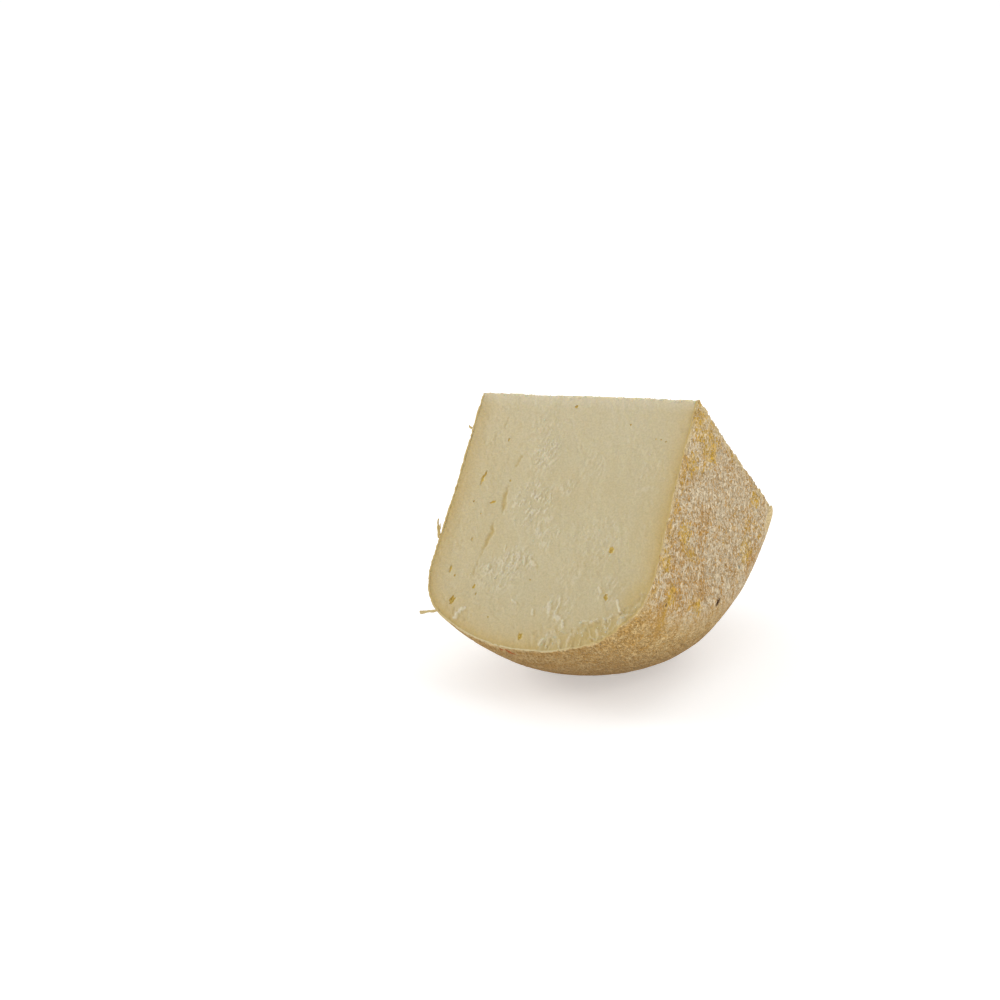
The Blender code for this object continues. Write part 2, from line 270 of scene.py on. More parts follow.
# Pin holes of the front cut, as (across, down, width, length)
PIN_HOLES = (
    (0.0197, 0.0108, 0.0009, 0.0009),
    (-0.0274, 0.0188, 0.0008, 0.0018),
    (-0.0345, 0.0439, 0.0008, 0.0008),
    (-0.0302, 0.0486, 0.0008, 0.0007),
    (-0.0309, 0.0588, 0.0008, 0.0016),
    (-0.0338, 0.0732, 0.0009, 0.0009),
    (-0.0234, 0.0797, 0.0007, 0.0012),
    (-0.0033, 0.0730, 0.0008, 0.0008),
    (-0.0159, 0.0882, 0.0008, 0.0007),
    (0.0310, 0.0161, 0.0007, 0.0008),
    (0.0330, 0.0162, 0.0008, 0.0007),
    (0.0351, 0.0169, 0.0007, 0.0007),
)
BACK_EYE_START = 0.014
BACK_EYE_PITCH = 0.0076
BACK_EYE_SPREAD = 0.030
BACK_EYE_WIDTH = (0.0013, 0.0024)
BACK_EYE_STRETCH = (1.2, 3.2)
BACK_EYE_TURN = 30
BACK_EYE_MARGIN = 0.010
BACK_PIN_HOLES = 14
BACK_PIN_HOLE = (0.0008, 0.0010)
EYE_RAGGED = 0.6
EYE_WANDER = 0.35

# Loose strands of the rind, each from its root on the front cut's rim to its tip, as (across, down, how far
# it stands off the cut). The tips are factors of a strand's thickness: a knob where above 1, or a point.
STRANDS = (
    (
        (-0.0362, 0.0872, 0.0),
        (-0.0388, 0.0877, 0.0004),
        (-0.0412, 0.0882, 0.0),
        (-0.0431, 0.0886, 0.0003),
    ),
    (
        (-0.0447, 0.0590, 0.0),
        (-0.0456, 0.0560, 0.0002),
        (-0.0464, 0.0540, 0.0001),
        (-0.0469, 0.0516, 0.0),
    ),
    ((-0.0446, 0.0580, 0.0), (-0.0452, 0.0557, 0.0002), (-0.0454, 0.0535, 0.0004)),
    ((-0.0438, 0.0148, 0.0), (-0.0450, 0.0144, 0.0002), (-0.0455, 0.0137, 0.0)),
)
STRAND_TIPS = (1.7, 0.5, 0.3, 0.5)
STRAND_RADIUS = 0.00042
STRAND_CROOK = 0.0003
STRAND_CROOK_LENGTH = 0.0011

# How the crumbs are turned and stretched, least and most, and how deeply their outlines are dented
CRUMB_TURNS = ((0.0, 0.0, 0.0), (6.28, 6.28, 6.28))
CRUMB_STRETCH = ((0.4, 0.4, 0.3), (1.3, 1.1, 0.8))
CRUMB_DENT = 0.0006

# The rind's ragged lip on a cut, with the (width, length) of one rag
LIP_RAGS = (0.0018, 0.0018)
FINE_LIP_RAGS = (0.0009, 0.0009)

# The tab that the rind's edge leaves at the back cut, near the +X face
TAB_START = 0.0735
TAB_END = 0.0960
TAB_HEIGHT = 0.0016
TAB_STEP = 0.0009
TAB_WIDTH = 0.0095
TAB_RAG = 0.0020
TAB_RAG_WIDTH = 0.0016
TAB_ACROSS = (0.015, 0.025)
TAB_FOOT = (0.0910, 0.0820)

# The bare rim further down the back cut, as its fade away from the cut and where it sets in
BACK_RIM = (0.0028, 0.0012)
BACK_RIM_DOWN = (0.0850, 0.0900)

# The bloom is less side-like towards the back, and a face counts as underside from this slope on; the rind
# gets painted shade on such faces and below this height over the table
SIDE_LOSS = 0.30
SIDE_LOSS_REACH = 0.030
SIDE_SHARES = (0.12, 0.62)
PITTED_SIDE_SHARES = (0.25, 0.80)
UNDERSIDE_SLOPE = 0.35
LOW_RIND = 0.034

# Bands of the rind along a cut, each as the distances from it where the band starts and is full
YELLOW_BAND = (0.0105, 0.0010)
YELLOW_BAND_EDGE = (0.0, 0.0032)
WORN_BAND = (0.013, 0.001)
CRUMBLY_RIM = (0.0022, 0.0008)

# The kinds of socket that the node groups have
FLOAT = "NodeSocketFloat"
VECTOR = "NodeSocketVector"
GEOMETRY = "NodeSocketGeometry"
MATERIAL = "NodeSocketMaterial"
SOCKET_KINDS = {float: FLOAT, int: "NodeSocketInt"}

# How squarely a face has to look out of a cut to be a part of the rind's cut edge
EDGE_SLOPE = 0.55

# A dash-shaped slit in the rind of the +X face: radius, turn in degrees, width, length, depth and tilt
SLIT = (0.0753, -0.9, 0.0017, 0.0026, 0.00036, -40)

# Yellow patches on the +X face, as ((radius, turn in degrees), size of the patch)
YELLOW_SPOTS = (
    ((0.0090, -12), 0.0110),
    ((0.0200, -20), 0.0080),
    ((0.0230, 22), 0.0050),
    ((0.0475, 25), 0.0055),
    ((0.0600, -38), 0.0045),
    ((0.0680, -22), 0.0060),
    ((0.0604, 38), 0.0050),
    ((0.0740, 12), 0.0040),
)

# Ochre patches on the +X face, where the bloom is rubbed thin
OCHRE_SPOTS = (
    ((0.0574, 29), 0.0100),
    ((0.0615, 19), 0.0090),
    ((0.0664, 12), 0.0080),
    ((0.0446, 6), 0.0070),
    ((0.0719, 30), 0.0100),
    ((0.0740, -24), 0.0070),
    ((0.0870, 33.5), 0.0110),
    ((0.0757, 32), 0.0070),
    ((0.0726, 21), 0.0060),
)

# Reddish stains on the side just under the front cut, as ((across, turn in degrees), size, colour)
STAIN_RED = (0.50, 0.135, 0.030)
DARKER_STAIN_RED = (0.42, 0.135, 0.030)
SIDE_STAINS = (
    ((-0.0087, 41.0), 0.0009, STAIN_RED),
    ((-0.0062, 41.1), 0.0011, STAIN_RED),
    ((-0.0056, 40.8), 0.0013, STAIN_RED),
    ((-0.0051, 40.3), 0.0012, STAIN_RED),
    ((-0.0045, 39.6), 0.0008, DARKER_STAIN_RED),
)

# Dark specks on the +X face, as ((radius, turn in degrees), size, colour)
DARK_SPECKS = (
    ((0.0641, -7.7), 0.0006, (0.12, 0.09, 0.04)),
    ((0.0700, -15.6), 0.0008, (0.20, 0.20, 0.15)),
    ((0.0746, 31.8), 0.0007, (0.12, 0.08, 0.04)),
)


def length(name, description, default):
    """A size in metres for the sidebar."""
    return FloatProperty(
        name=name, description=description, default=default, unit="LENGTH", precision=5
    )


def turn(name, description, degrees):
    """An angle for the sidebar."""
    return FloatProperty(
        name=name, description=description, default=math.radians(degrees), subtype="ANGLE"
    )


def share(name, description, default):
    """A plain number from 0 to 1 for the sidebar."""
    return FloatProperty(
        name=name, description=description, default=default, min=0.0, max=1.0, subtype="FACTOR"
    )


def plain_number(name, description, default):
    """A plain number for the sidebar."""
    return FloatProperty(name=name, description=description, default=default)


def lamp_power(name, description, default):
    """A lamp's power for the sidebar."""
    return FloatProperty(name=name, description=description, default=default, unit="POWER")


def place_of(name, description, default):
    """A place in metres for the sidebar."""
    return FloatVectorProperty(name=name, description=description, default=default, unit="LENGTH")


def colour(name, description, default):
    """A linear colour for the sidebar."""
    return FloatVectorProperty(
        name=name, description=description, default=default, size=3, subtype="COLOR", min=0.0, max=1.0
    )


class WedgeSizes(bpy.types.PropertyGroup):
    """The wheel that the wedge was cut from, and how the wedge stands."""

    radius: length("Wheel radius", "Half of the wheel's width", 0.100)
    half_height: length("Half height", "Half of the wheel's height at the faces' rims", 0.0448)
    crown_radius: length("Side bulge", "Radius of the bulging side", 0.0676)
    crown_offset: length("Bulge height", "How far the bulge sits towards the +X face", 0.0024)
    plus_corner: length("Corner at +X", "Radius between the +X face and the side", 0.0291)
    minus_corner: length("Corner at -X", "Radius between the -X face and the side", 0.0229)
    dish: length("Face dish", "How far a face sinks towards its middle", 0.0013)
    half_angle: turn("Half angle", "Half of the angle between the two cuts", 42.45)
    lean: turn("Lean", "How far the +X end of the crest is raised", 6.27)
    foot_depth: length("Foot depth", "How much of the rind is pressed flat by the table", 0.0009)


class CutSizes(bpy.types.PropertyGroup):
    """The relief of the cut paste."""

    spacing: length("Mesh spacing", "Distance between the points of the front cut", 0.00041)
    wave: length("Wave height", "Height of the knife's slow waves", 0.00030)
    drag: length("Drag height", "Height of the fine ridges along the knife's way", 0.00012)
    grain: length("Grain height", "Height of the paste's own grain", 0.00004)
    smear: length("Smear height", "Height of the small tongues dragged up by the knife", 0.00038)
    plate: length("Plate height", "Height of the low steps between the knife's strokes", 0.00010)
    crest_wear: length("Crest wear", "How far the crest has crumbled away", 0.00012)
    crest_chip: length("Crest chips", "Depth of the chips in the crest", 0.0012)
    crag_depth: length("Crag depth", "Depth of the torn band along the bottom rim", 0.0009)
    crag_width: length("Crag width", "Width of the crags in the torn band", 0.0042)
    rim_break: length("Rim break", "How far the torn band sinks at the rim", 0.0004)
    eye_depth: plain_number("Eye depth", "Depth of an eye for each unit of its width", 0.36)


class PasteLook(bpy.types.PropertyGroup):
    """The colours of the paste."""

    paste: colour("Paste", "The smooth cut paste", (0.512, 0.440, 0.266))
    golden: colour("Golden band", "The drier paste next to the rind", (0.500, 0.345, 0.107))
    # The torn colour also paints shade beside the flakes and deepens as painted shade in the torn band's
    # hollows
    torn: colour("Torn paste", "The inside of the torn band", (0.490, 0.368, 0.145))
    eye: colour("Eyes", "The inside of the eyes", (0.600, 0.425, 0.088))
    # The smear colour also paints the highlight along the crest and on the crags' edges, and the light over
    # the cut's upper part
    smear: colour("Smears", "Paste that the knife dragged up", (0.606, 0.543, 0.388))
    crumb: colour("Crumbs", "Dry crumbs of paste", (0.655, 0.600, 0.445))
    crumbs: plain_number("Crumbs", "Crumbs on a square metre of fully torn paste", 1100000.0)
    crumb_size: length("Crumb size", "Radius of a crumb", 0.00026)
    band: length("Golden band width", "How far the golden band reaches from the rind", 0.0058)
    rim_band: length("Rim band width", "How far the deeper gold reaches from the rind", 0.0018)
    softness: share("Softness", "How much light goes through the paste", 0.60)
    roughness: share("Roughness", "Roughness of the cut paste", 0.50)


class RindLook(bpy.types.PropertyGroup):
    """The sizes and colours of the rind."""

    spacing: length("Mesh spacing", "Distance between the points of the rind", 0.00060)
    thickness: length("Thickness", "Thickness of the rind's shell", 0.00065)
    lip: length("Lip", "How far the rind's edge stands proud of the cut paste", 0.00016)
    swell: length("Swell height", "Height of the rind's slow swells", 0.00035)
    bump: length("Bump height", "Height of the rind's small bumps", 0.00012)
    pit_spacing: length("Pit spacing", "Distance between the pits of the bloom", 0.0021)
    pit_depth: length("Pit depth", "Depth of the pits of the bloom", 0.00028)
    bloom: colour("Bloom", "The dry pale bloom", (0.748, 0.625, 0.424))
    pit: colour("Pits", "The ochre ground under the bloom", (0.560, 0.304, 0.078))
    yellow: colour("Yellow patches", "Where the bloom is thin", (0.685, 0.408, 0.054))
    side: colour("Side", "The ochre ground on the wheel's side", (0.570, 0.326, 0.085))
    side_bloom: colour("Side bloom", "The yellower bloom on the wheel's side", (0.800, 0.600, 0.290))
    # The underside colour is painted shade: in the pits, towards the table and on faces turned down
    under: colour("Underside", "The browner rind towards the table", (0.295, 0.165, 0.055))
    # The slit colour is painted shade, near black inside the slit
    slit: colour("Slit", "The dark bottom of the slit", (0.062, 0.020, 0.002))
    tab: colour("Tab", "The smooth pale tab at the back cut", (0.740, 0.570, 0.290))
    edge: colour("Cut edge", "The pale edge where the knife went through", (0.600, 0.515, 0.315))
    golden_edge: colour("Golden edge", "The cut edge further up, nearer the paste", (0.505, 0.362, 0.125))
    roughness: share("Roughness", "Roughness of the bloom", 0.88)


class StageLook(bpy.types.PropertyGroup):
    """The floor, the light and the camera."""

    floor: colour("Floor", "The plain pale floor", (0.76, 0.76, 0.76))
    floor_width: length("Floor width", "Side of the square floor", 12.0)
    glow: plain_number("Floor glow", "How strongly the floor is lit from below", 0.42)
    sky: plain_number("Sky", "Strength of the white light all round", 0.74)
    key: lamp_power("Key light", "Power of the soft light at the left", 4.6)
    key_place: place_of("Key place", "Where the soft light at the left hangs", (-0.95, -0.50, 0.65))
    fill: lamp_power("Fill light", "Power of the soft light at the right", 2.2)
    fill_place: place_of("Fill place", "Where the soft light at the right hangs", (1.05, -0.35, 0.85))
    back: lamp_power("Back light", "Power of the soft light behind", 3.0)
    back_place: place_of("Back place", "Where the soft light behind hangs", (0.10, 1.10, 0.60))
    lamp_width: length("Lamp width", "Side of each soft light", 0.45)
    azimuth: turn("Camera azimuth", "How far the camera stands round towards +X", 28.681)
    elevation: turn("Camera elevation", "How far the camera looks down", 18.435)
    distance: length("Camera distance", "From the camera to the point that it looks at", 1.2)
    aim: place_of(
        "Camera aim",
        "The point in the middle of the picture, from the middle of the wedge's foot",
        (-0.0325, -0.0153, 0.0595),
    )
    lens: FloatProperty(
        name="Lens", description="Focal length on a 36 mm sensor", default=119.38, unit="CAMERA"
    )


def ease(value):
    """0 below 0, 1 above 1, and a smooth rise between."""
    value = min(max(value, 0.0), 1.0)
    return value * value * (3.0 - 2.0 * value)


def rise_of(value, start, end):
    """A smooth rise from 0 at the start to 1 at the end."""
    return ease((value - start) / (end - start))


def ripple(x, y, z=0.0):
    """Smooth noise about 0, one swell for each unit."""
    return noise.noise(Vector((x, y, z)))


def swells(across, down, size, noise_slice):
    """Smooth noise about 0 over a cut, from the width and length of one swell."""
    return ripple(across / size[0], down / size[1], noise_slice)


class WedgeForm:
    """The wheel's section, the two cuts and their relief, worked out from the sizes in the sidebar."""

    def __init__(self, scene):
        noise.seed_set(RANDOM_SEED)
        for group in (scene.pecorino_wedge, scene.pecorino_cut):
            for name in group.__annotations__:
                setattr(self, name, getattr(group, name))
        rind = scene.pecorino_rind
        self.swell, self.bump, self.lip = rind.swell, rind.bump, rind.lip
        self.crown_centre = self.radius - self.crown_radius
        self.corners = {1: self.corner(1, self.plus_corner), -1: self.corner(-1, self.minus_corner)}
        self.placed = self.placement()

    def corner(self, side, radius):
        """The round between a face and the side: its radius, its centre's place, and where it ends."""
        height = side * (self.half_height - radius)
        reach = math.sqrt((self.crown_radius - radius) ** 2 - (height - self.crown_offset) ** 2)
        join = math.atan2(height - self.crown_offset, reach)
        return radius, height, self.crown_centre + reach, join

    def face(self, side, spacing, inset):
        """Points of a face from the axis to just short of its corner, as (radius, height, way out)."""
        centre = self.corners[side][2]
        rings = math.ceil(centre / spacing)
        points = []
        for ring in range(rings):
            out = ring / rings
            height = side * (self.half_height - inset - self.dish * (1.0 - out**2))
            points.append((out * centre, height, side * math.pi / 2))
        return points

    def section(self, spacing, inset=0.0):
        """Half of the wheel's section from one pole to the other, as (radius, height, way out)."""
        plus_radius, plus_height, plus_centre, plus_join = self.corners[1]
        minus_radius, minus_height, minus_centre, minus_join = self.corners[-1]
        crown = (self.crown_radius, self.crown_offset, self.crown_centre)
        upright = math.pi / 2
        points = self.face(1, spacing, inset)
        for (radius, height, centre), start, end in (
            ((plus_radius, plus_height, plus_centre), upright, plus_join),
            (crown, plus_join, minus_join),
            ((minus_radius, minus_height, minus_centre), minus_join, -upright),
        ):
            steps = math.ceil(abs(end - start) * radius / spacing)
            for step in range(steps):
                way = start + (end - start) * step / steps
                out = radius - inset
                points.append((centre + out * math.cos(way), height + out * math.sin(way), way))
        points.append((minus_centre, inset - self.half_height, -upright))
        return points + self.face(-1, spacing, inset)[::-1]

    def skin_point(self, radius, height, way, angle):
        """A point of the wheel's skin, moved in or out by the rind's swells and bumps."""
        cosine, sine = math.cos(angle), math.sin(angle)
        place = Vector((radius * cosine, radius * sine, height))
        outward = Vector((math.cos(way) * cosine, math.cos(way) * sine, math.sin(way)))
        swell = self.swell * ripple(*(place / SWELL_WIDTH))
        return place + outward * (swell + self.bump * ripple(*(place / BUMP_WIDTH)))

    def placement(self):
        """Stands the wheel up, leans it, and moves it so that the wedge fills the solid's box."""
        standing = Matrix.Rotation(math.radians(90) - self.lean, 4, "Y")
        turns = [self.half_angle * (step / OUTLINE_STEPS - 1.0) for step in range(2 * OUTLINE_STEPS + 1)]
        outline = self.section(OUTLINE_SPACING)
        places = [standing @ self.skin_point(*point, angle) for point in outline for angle in turns]
        middle = [(min(p[axis] for p in places) + max(p[axis] for p in places)) / 2 for axis in (0, 1)]
        lowest = min(place.z for place in places)
        shift = ((LOW.x + HIGH.x) / 2 - middle[0], (LOW.y + HIGH.y) / 2 - middle[1])
        return Matrix.Translation((*shift, LOW.z - self.foot_depth - lowest)) @ standing

    def rind_at(self, across):
        """How far the rind is from the axis at a place across the wheel, on its side or a corner."""
        side = 1 if across > self.crown_offset else -1
        radius, height, centre, join = self.corners[side]
        if side * across < side * (height + radius * math.sin(join)):
            return self.crown_centre + math.sqrt(self.crown_radius**2 - (across - self.crown_offset) ** 2)
        outward = min(abs(across - height), radius)
        return centre + math.sqrt(radius**2 - outward**2)

    def cut_frame(self, side):
        """Unit vectors down the cut and into the wedge, for the front cut (1) and the back one (-1)."""
        down = Vector((math.cos(self.half_angle), -side * math.sin(self.half_angle), 0.0))
        inward = Vector((math.sin(self.half_angle), side * math.cos(self.half_angle), 0.0))
        return down, inward

    def on_cut(self, side, across, down_by, depth):
        """A point of the wheel at a place of a cut, some way under its flat plane."""
        down, inward = self.cut_frame(side)
        return down * down_by + inward * depth + Vector((0.0, 0.0, across))

    def knife_relief(self, across, down, noise_slice):
        """The waves, drag ridges and grain of smooth paste."""
        wave = swells(across, down, WAVES, noise_slice)
        drag = swells(across, down, DRAG_RIDGES, 2 * noise_slice)
        grain = swells(across, down, FINE_GRAIN, noise_slice)
        grain += swells(across, down, COARSE_GRAIN, noise_slice)
        plates = swells(across, down, PLATES, 3 * noise_slice) + 0.2 * grain
        step = ease(PLATE_EDGE * plates + 0.5) + ease(PLATE_EDGE * (abs(plates) - PLATE_LEVEL))
        return self.wave * wave + self.drag * drag + self.grain * grain + self.plate * step

    def smeared(self, across, down):
        """How high the knife dragged the paste up here, from 0 to about 1."""
        patch = 0.0
        for place_across, place_down, half_width, half_length, strength in SMEARS:
            away = math.hypot((across - place_across) / half_width, (down - place_down) / half_length)
            patch = max(patch, strength * ease(SMEAR_FADE - away))
        if patch == 0.0:
            return 0.0
        along = down * math.cos(SMEAR_LEAN) - across * math.sin(SMEAR_LEAN)
        beside = across * math.cos(SMEAR_LEAN) + down * math.sin(SMEAR_LEAN)
        stroke = swells(beside, along, SMEAR_STROKES, FRONT_SLICE)
        gap = swells(beside, along, SMEAR_GAPS, BACK_SLICE)
        level = swells(across, down, SMEAR_PATCHES, OUTLINE_SLICE) + 0.2 * stroke
        outline = ease(1.0 - abs(level) / SMEAR_LINE)
        return patch * max(ease(5.0 * (stroke + 0.4 * gap) - 0.4), 0.22 * outline)

    def near_flakes(self, across, down):
        """Whether the front cut has flakes anywhere near here."""
        return FLAKES_ACROSS[0] < across < FLAKES_ACROSS[1] and FLAKES_DOWN[0] < down < FLAKES_DOWN[1]

    def flake(self, across, down):
        """Whether a single flake stands on the front cut here: 1 along its middle, 0 beside it."""
        highest = 0.0
        here = Vector((across, down))
        for half_width, line in FLAKES:
            reach = 1.5 * half_width
            if not min(point[1] for point in line) - reach < down < max(point[1] for point in line) + reach:
                continue
            for start, end in zip(line, line[1:]):
                start, way = Vector(start), Vector(end) - Vector(start)
                along = min(max((here - start).dot(way) / way.length_squared, 0.0), 1.0)
                away = (here - start - along * way).length / half_width
                if away < 2.0:
                    away += 0.8 * swells(across, down, FLAKE_EDGE, FLAKE_SLICE)
                    highest = max(highest, ease(1.5 - away))
        return highest

    def tear(self, across, down):
        """How deep the front cut is torn open here, from 0 to 1: steep on the right, fading on the left."""
        deepest = 0.0
        for line in TEARS:
            for (first, start, width), (second, end, next_width) in zip(line, line[1:]):
                share_along = min(max((down - start) / (end - start), 0.0), 1.0)
                swing = TEAR_SWING * ripple(down / TEAR_SWING_LENGTH, first * 100.0)
                gap = across - first - (second - first) * share_along - swing
                past = max(start - down, down - end, 0.0)
                half_width = width + (next_width - width) * share_along
                fade = 1.0 if gap > 0.0 else TEAR_FADE
                away = math.hypot(gap / (half_width * fade), past / half_width)
                deepest = max(deepest, ease(1.35 - away) * min(half_width / TEAR_FULL_WIDTH, 1.0))
        return deepest

    def torn(self, across, down):
        """How torn the front cut is: 1 in the crumbled band along the rim, 0 in the smooth paste."""
        middle, half_length, fade = CRAG_ALONG
        along = ease(1.0 - (abs(across - middle) - half_length) / fade)
        swing = swells(across, down, BAND_SWINGS, BACK_SLICE)
        swing += 0.5 * swells(across, down, BAND_FRAYS, FRONT_SLICE)
        top = self.rind_at(across) - CRAG_BAND * along + CRAG_BAND_SWING * swing
        return ease(2.0 * along) * ease((down - top) / CRAG_BAND_FADE)

    def crags(self, across, down):
        """The torn band's facets: how deep they lie, about 0 to 1, and how much pale broken edge there is on
        their +across side, which is partly pale broken paste and partly painted highlight.
        """
        depth, edge = 0.0, 0.0
        for factor, height in CRAG_SIZES:
            width = factor * self.crag_width
            spot = Vector((across / width, down / (CRAG_STRETCH * width), FRONT_SLICE))
            spot += 0.25 * noise.noise_vector(spot * 1.7)
            gaps, centres = noise.voronoi(spot)
            from_centre = spot - centres[0]
            tilt = noise.noise_vector(centres[0] * 5.3)
            level = 0.5 + 0.4 * noise.noise(centres[0] * 9.1)
            facet = level + 0.3 * tilt.dot(from_centre) - 0.25 * from_centre.x
            ridge = ease(1.0 - (gaps[1] - gaps[0]) / 0.16)
            depth += height * (facet - 0.45 * ridge)
            edge = max(edge, ridge * height * ease(0.8 + 2.0 * from_centre.x))
        return depth, edge

    def front_depth(self, across, down):
        """How far the front cut lies under its flat plane."""
        torn = self.torn(across, down)
        depth = self.knife_relief(across, down, FRONT_SLICE) - self.smear * self.smeared(across, down)
        if self.near_flakes(across, down):
            depth -= FLAKE_HEIGHT * self.flake(across, down)
        if torn > 0.0:
            rim = ease(1.0 - (self.rind_at(across) - down) / RIM_BREAK_BAND)
            crags = self.crag_depth * self.crags(across, down)[0] * (0.35 + 0.45 * rim)
            depth += torn * (crags + self.rim_break * rim)
        if TEARS_ACROSS[0] < across < TEARS_ACROSS[1]:
            depth += TEAR_DEPTH * self.tear(across, down)
        for place_across, place_down, radius, most in TORN_PLACES:
            away = math.hypot(across - place_across, down - place_down) / radius
            if away < 1.4:
                away += 0.6 * swells(across, down, TORN_EDGE, BACK_SLICE)
                depth += most * ease(2.4 * (1.0 - away))
        return depth

    def depth(self, side, across, down):
        """How far a cut lies under its flat plane, the front cut (1) or the back one (-1)."""
        if side > 0:
            return self.front_depth(across, down)
        return self.knife_relief(across, down, BACK_SLICE)

    def crest_drop(self, across):
        """How much of the crest has crumbled away."""
        worn = self.crest_wear * ripple(across / CREST_WEAR_WIDTH, FRONT_SLICE)
        chip = self.crest_chip * ripple(across / CREST_CHIP_WIDTH, BACK_SLICE)
        nick = self.crest_wear * ripple(across / CREST_NICK_WIDTH, BACK_SLICE)
        return self.crest_wear + worn + max(chip, 0.0) + nick

    def rind_lip(self, side, across, down):
        """How far the rind's cut edge stands proud of the paste: a ragged little lip, and a tab behind."""
        lip = self.lip * (1.3 + 2.0 * swells(across, down, LIP_RAGS, LIP_SLICE))
        lip += 1.2 * self.lip * swells(across, down, FINE_LIP_RAGS, FINE_LIP_SLICE)
        lip *= 0.55 + 0.45 * ease((across + 0.040) / 0.030) + ease((across - 0.025) / 0.015)
        return lip + TAB_HEIGHT * self.tab(side, across, down)

    def tab(self, side, across, down):
        """Where the rind's edge left a tab at the back cut: 1 at its top, fading to 0 at its foot."""
        if side > 0 or across < self.crown_offset:
            return 0.0
        fade = ease((TAB_END - down) / (TAB_END - TAB_START)) ** 0.7
        return ease((down - TAB_START) / TAB_STEP) * fade

    def on_side(self, across, degrees):
        """A point of the wheel's side, standing in its place, turned from the middle to the front cut."""
        angle, radius = -math.radians(degrees), self.rind_at(across)
        return self.placed @ Vector((radius * math.cos(angle), radius * math.sin(angle), across))

    def on_face(self, radius, degrees):
        """A point of the +X face, standing in its place, turned from the middle to the front cut."""
        angle = -math.radians(degrees)
        corner_radius, corner_height, centre, _join = self.corners[1]
        if radius < centre:
            height = self.half_height - self.dish * (1.0 - (radius / centre) ** 2)
        else:
            height = corner_height + math.sqrt(corner_radius**2 - (radius - centre) ** 2)
        return self.placed @ Vector((radius * math.cos(angle), radius * math.sin(angle), height))


def ring_turns(form, radius, spacing):
    """The angles of a ring's points, all the way round: fine between the cuts and coarse elsewhere."""
    reach = form.half_angle + SPARE_TURN
    steps = max(FEWEST_STEPS, math.ceil(2 * reach * radius / spacing))
    fine = [reach * (2 * step / steps - 1.0) for step in range(steps + 1)]
    rest = 2 * (math.pi - reach)
    coarse = [reach + rest * step / COARSE_STEPS for step in range(1, COARSE_STEPS)]
    return [angle - 2 * math.pi for angle in coarse if angle >= math.pi] + fine + [
        angle for angle in coarse if angle < math.pi
    ]


def stitch(faces, upper, lower):
    """Fills the strip between two closed rings with triangles, whatever their numbers of points."""
    (first, turns), (second, others) = upper, lower
    ahead = turns[1:] + [turns[0] + 2 * math.pi]
    others_ahead = others[1:] + [others[0] + 2 * math.pi]
    a = b = 0
    while a < len(turns) or b < len(others):
        corner, opposite = first + a % len(turns), second + b % len(others)
        if b == len(others) or (a < len(turns) and ahead[a] <= others_ahead[b]):
            a += 1
            faces.append((corner, opposite, first + a % len(turns)))
        else:
            b += 1
            faces.append((corner, opposite, second + b % len(others)))


def turned_body(name, form, spacing, inset=0.0, table_gap=0.0):
    """The wheel turned from its section, standing in its place and pressed flat where it meets the table."""
    section = form.section(spacing, inset)
    places = [form.skin_point(*section[0], 0.0)]
    faces, rings = [], []
    for point in section[1:-1]:
        turns = ring_turns(form, point[0], spacing)
        rings.append((len(places), turns))
        places.extend(form.skin_point(*point, angle) for angle in turns)
    places.append(form.skin_point(*section[-1], 0.0))
    for upper, lower in zip(rings, rings[1:]):
        stitch(faces, upper, lower)
    for pole, (start, turns), step in ((0, rings[0], 0), (len(places) - 1, rings[-1], 1)):
        for number in range(len(turns)):
            pair = (start + number, start + (number + 1) % len(turns))
            faces.append((pole, pair[step], pair[1 - step]))
    standing = [form.placed @ place for place in places]
    for place in standing:
        place.z = max(place.z, table_gap)
    return new_piece(name, standing, faces)


def knife_block(name, form, lift=None):
    """The space between the cuts: a sheet with their relief, folded at the crest and drawn out to a block."""
    columns = round(2 * CUT_HALF_WIDTH / form.spacing)
    front_rows = round(CUT_REACH / form.spacing)
    back_rows = round(CUT_REACH / (form.spacing * BACK_COARSER))
    places = []
    for row in range(-back_rows, front_rows + 1):
        side = 1 if row > 0 else -1
        down = CUT_REACH * abs(row) / (front_rows if row > 0 else back_rows)
        for column in range(columns + 1):
            across = CUT_HALF_WIDTH * (2 * column / columns - 1.0)
            raised = lift(side, across, down) if lift else 0.0
            if row:
                places.append(form.on_cut(side, across, down, form.depth(side, across, down) - raised))
            else:
                places.append(Vector((form.crest_drop(across) - raised, 0.0, across)))
    wide, tall = columns + 1, front_rows + back_rows + 1
    faces = []
    for row in range(tall - 1):
        for column in range(columns):
            corner = row * wide + column
            faces.append((corner, corner + 1, corner + wide + 1))
            faces.append((corner, corner + wide + 1, corner + wide))
    border = list(range(wide))
    border += [row * wide + columns for row in range(1, tall)]
    border += [(tall - 1) * wide + column for column in range(columns - 1, -1, -1)]
    border += [row * wide for row in range(tall - 2, 0, -1)]
    far = len(places)
    places.extend(places[index] + Vector((KNIFE_DROP, 0.0, 0.0)) for index in border)
    tip = len(places)
    places.append(Vector((KNIFE_POINT, 0.0, 0.0)))
    for number, index in enumerate(border):
        following = (number + 1) % len(border)
        faces.append((index, far + number, far + following))
        faces.append((index, far + following, border[following]))
        faces.append((far + number, tip, far + following))
    return new_piece(name, [form.placed @ place for place in places], faces)


def ragged_ball(balls, matrix, seed, stretch=1.0):
    """One ball with an uneven outline, added to a drawing. A stretched one also wanders sideways."""
    made = bmesh.ops.create_icosphere(balls, subdivisions=4 if stretch > 3.0 else 3, radius=1.0)
    shift = Vector((seed, 2.0 * seed, 0.0))
    for vert in made["verts"]:
        spot = Vector((vert.co.x, vert.co.y * stretch**0.75, vert.co.z)) * 1.6
        place = vert.co * (1.0 + EYE_RAGGED * noise.noise(spot + shift))
        wander = ripple(vert.co.y * stretch**0.5, seed + 0.5)
        place.x += EYE_WANDER * wander * math.log(stretch)
        vert.co = matrix @ place


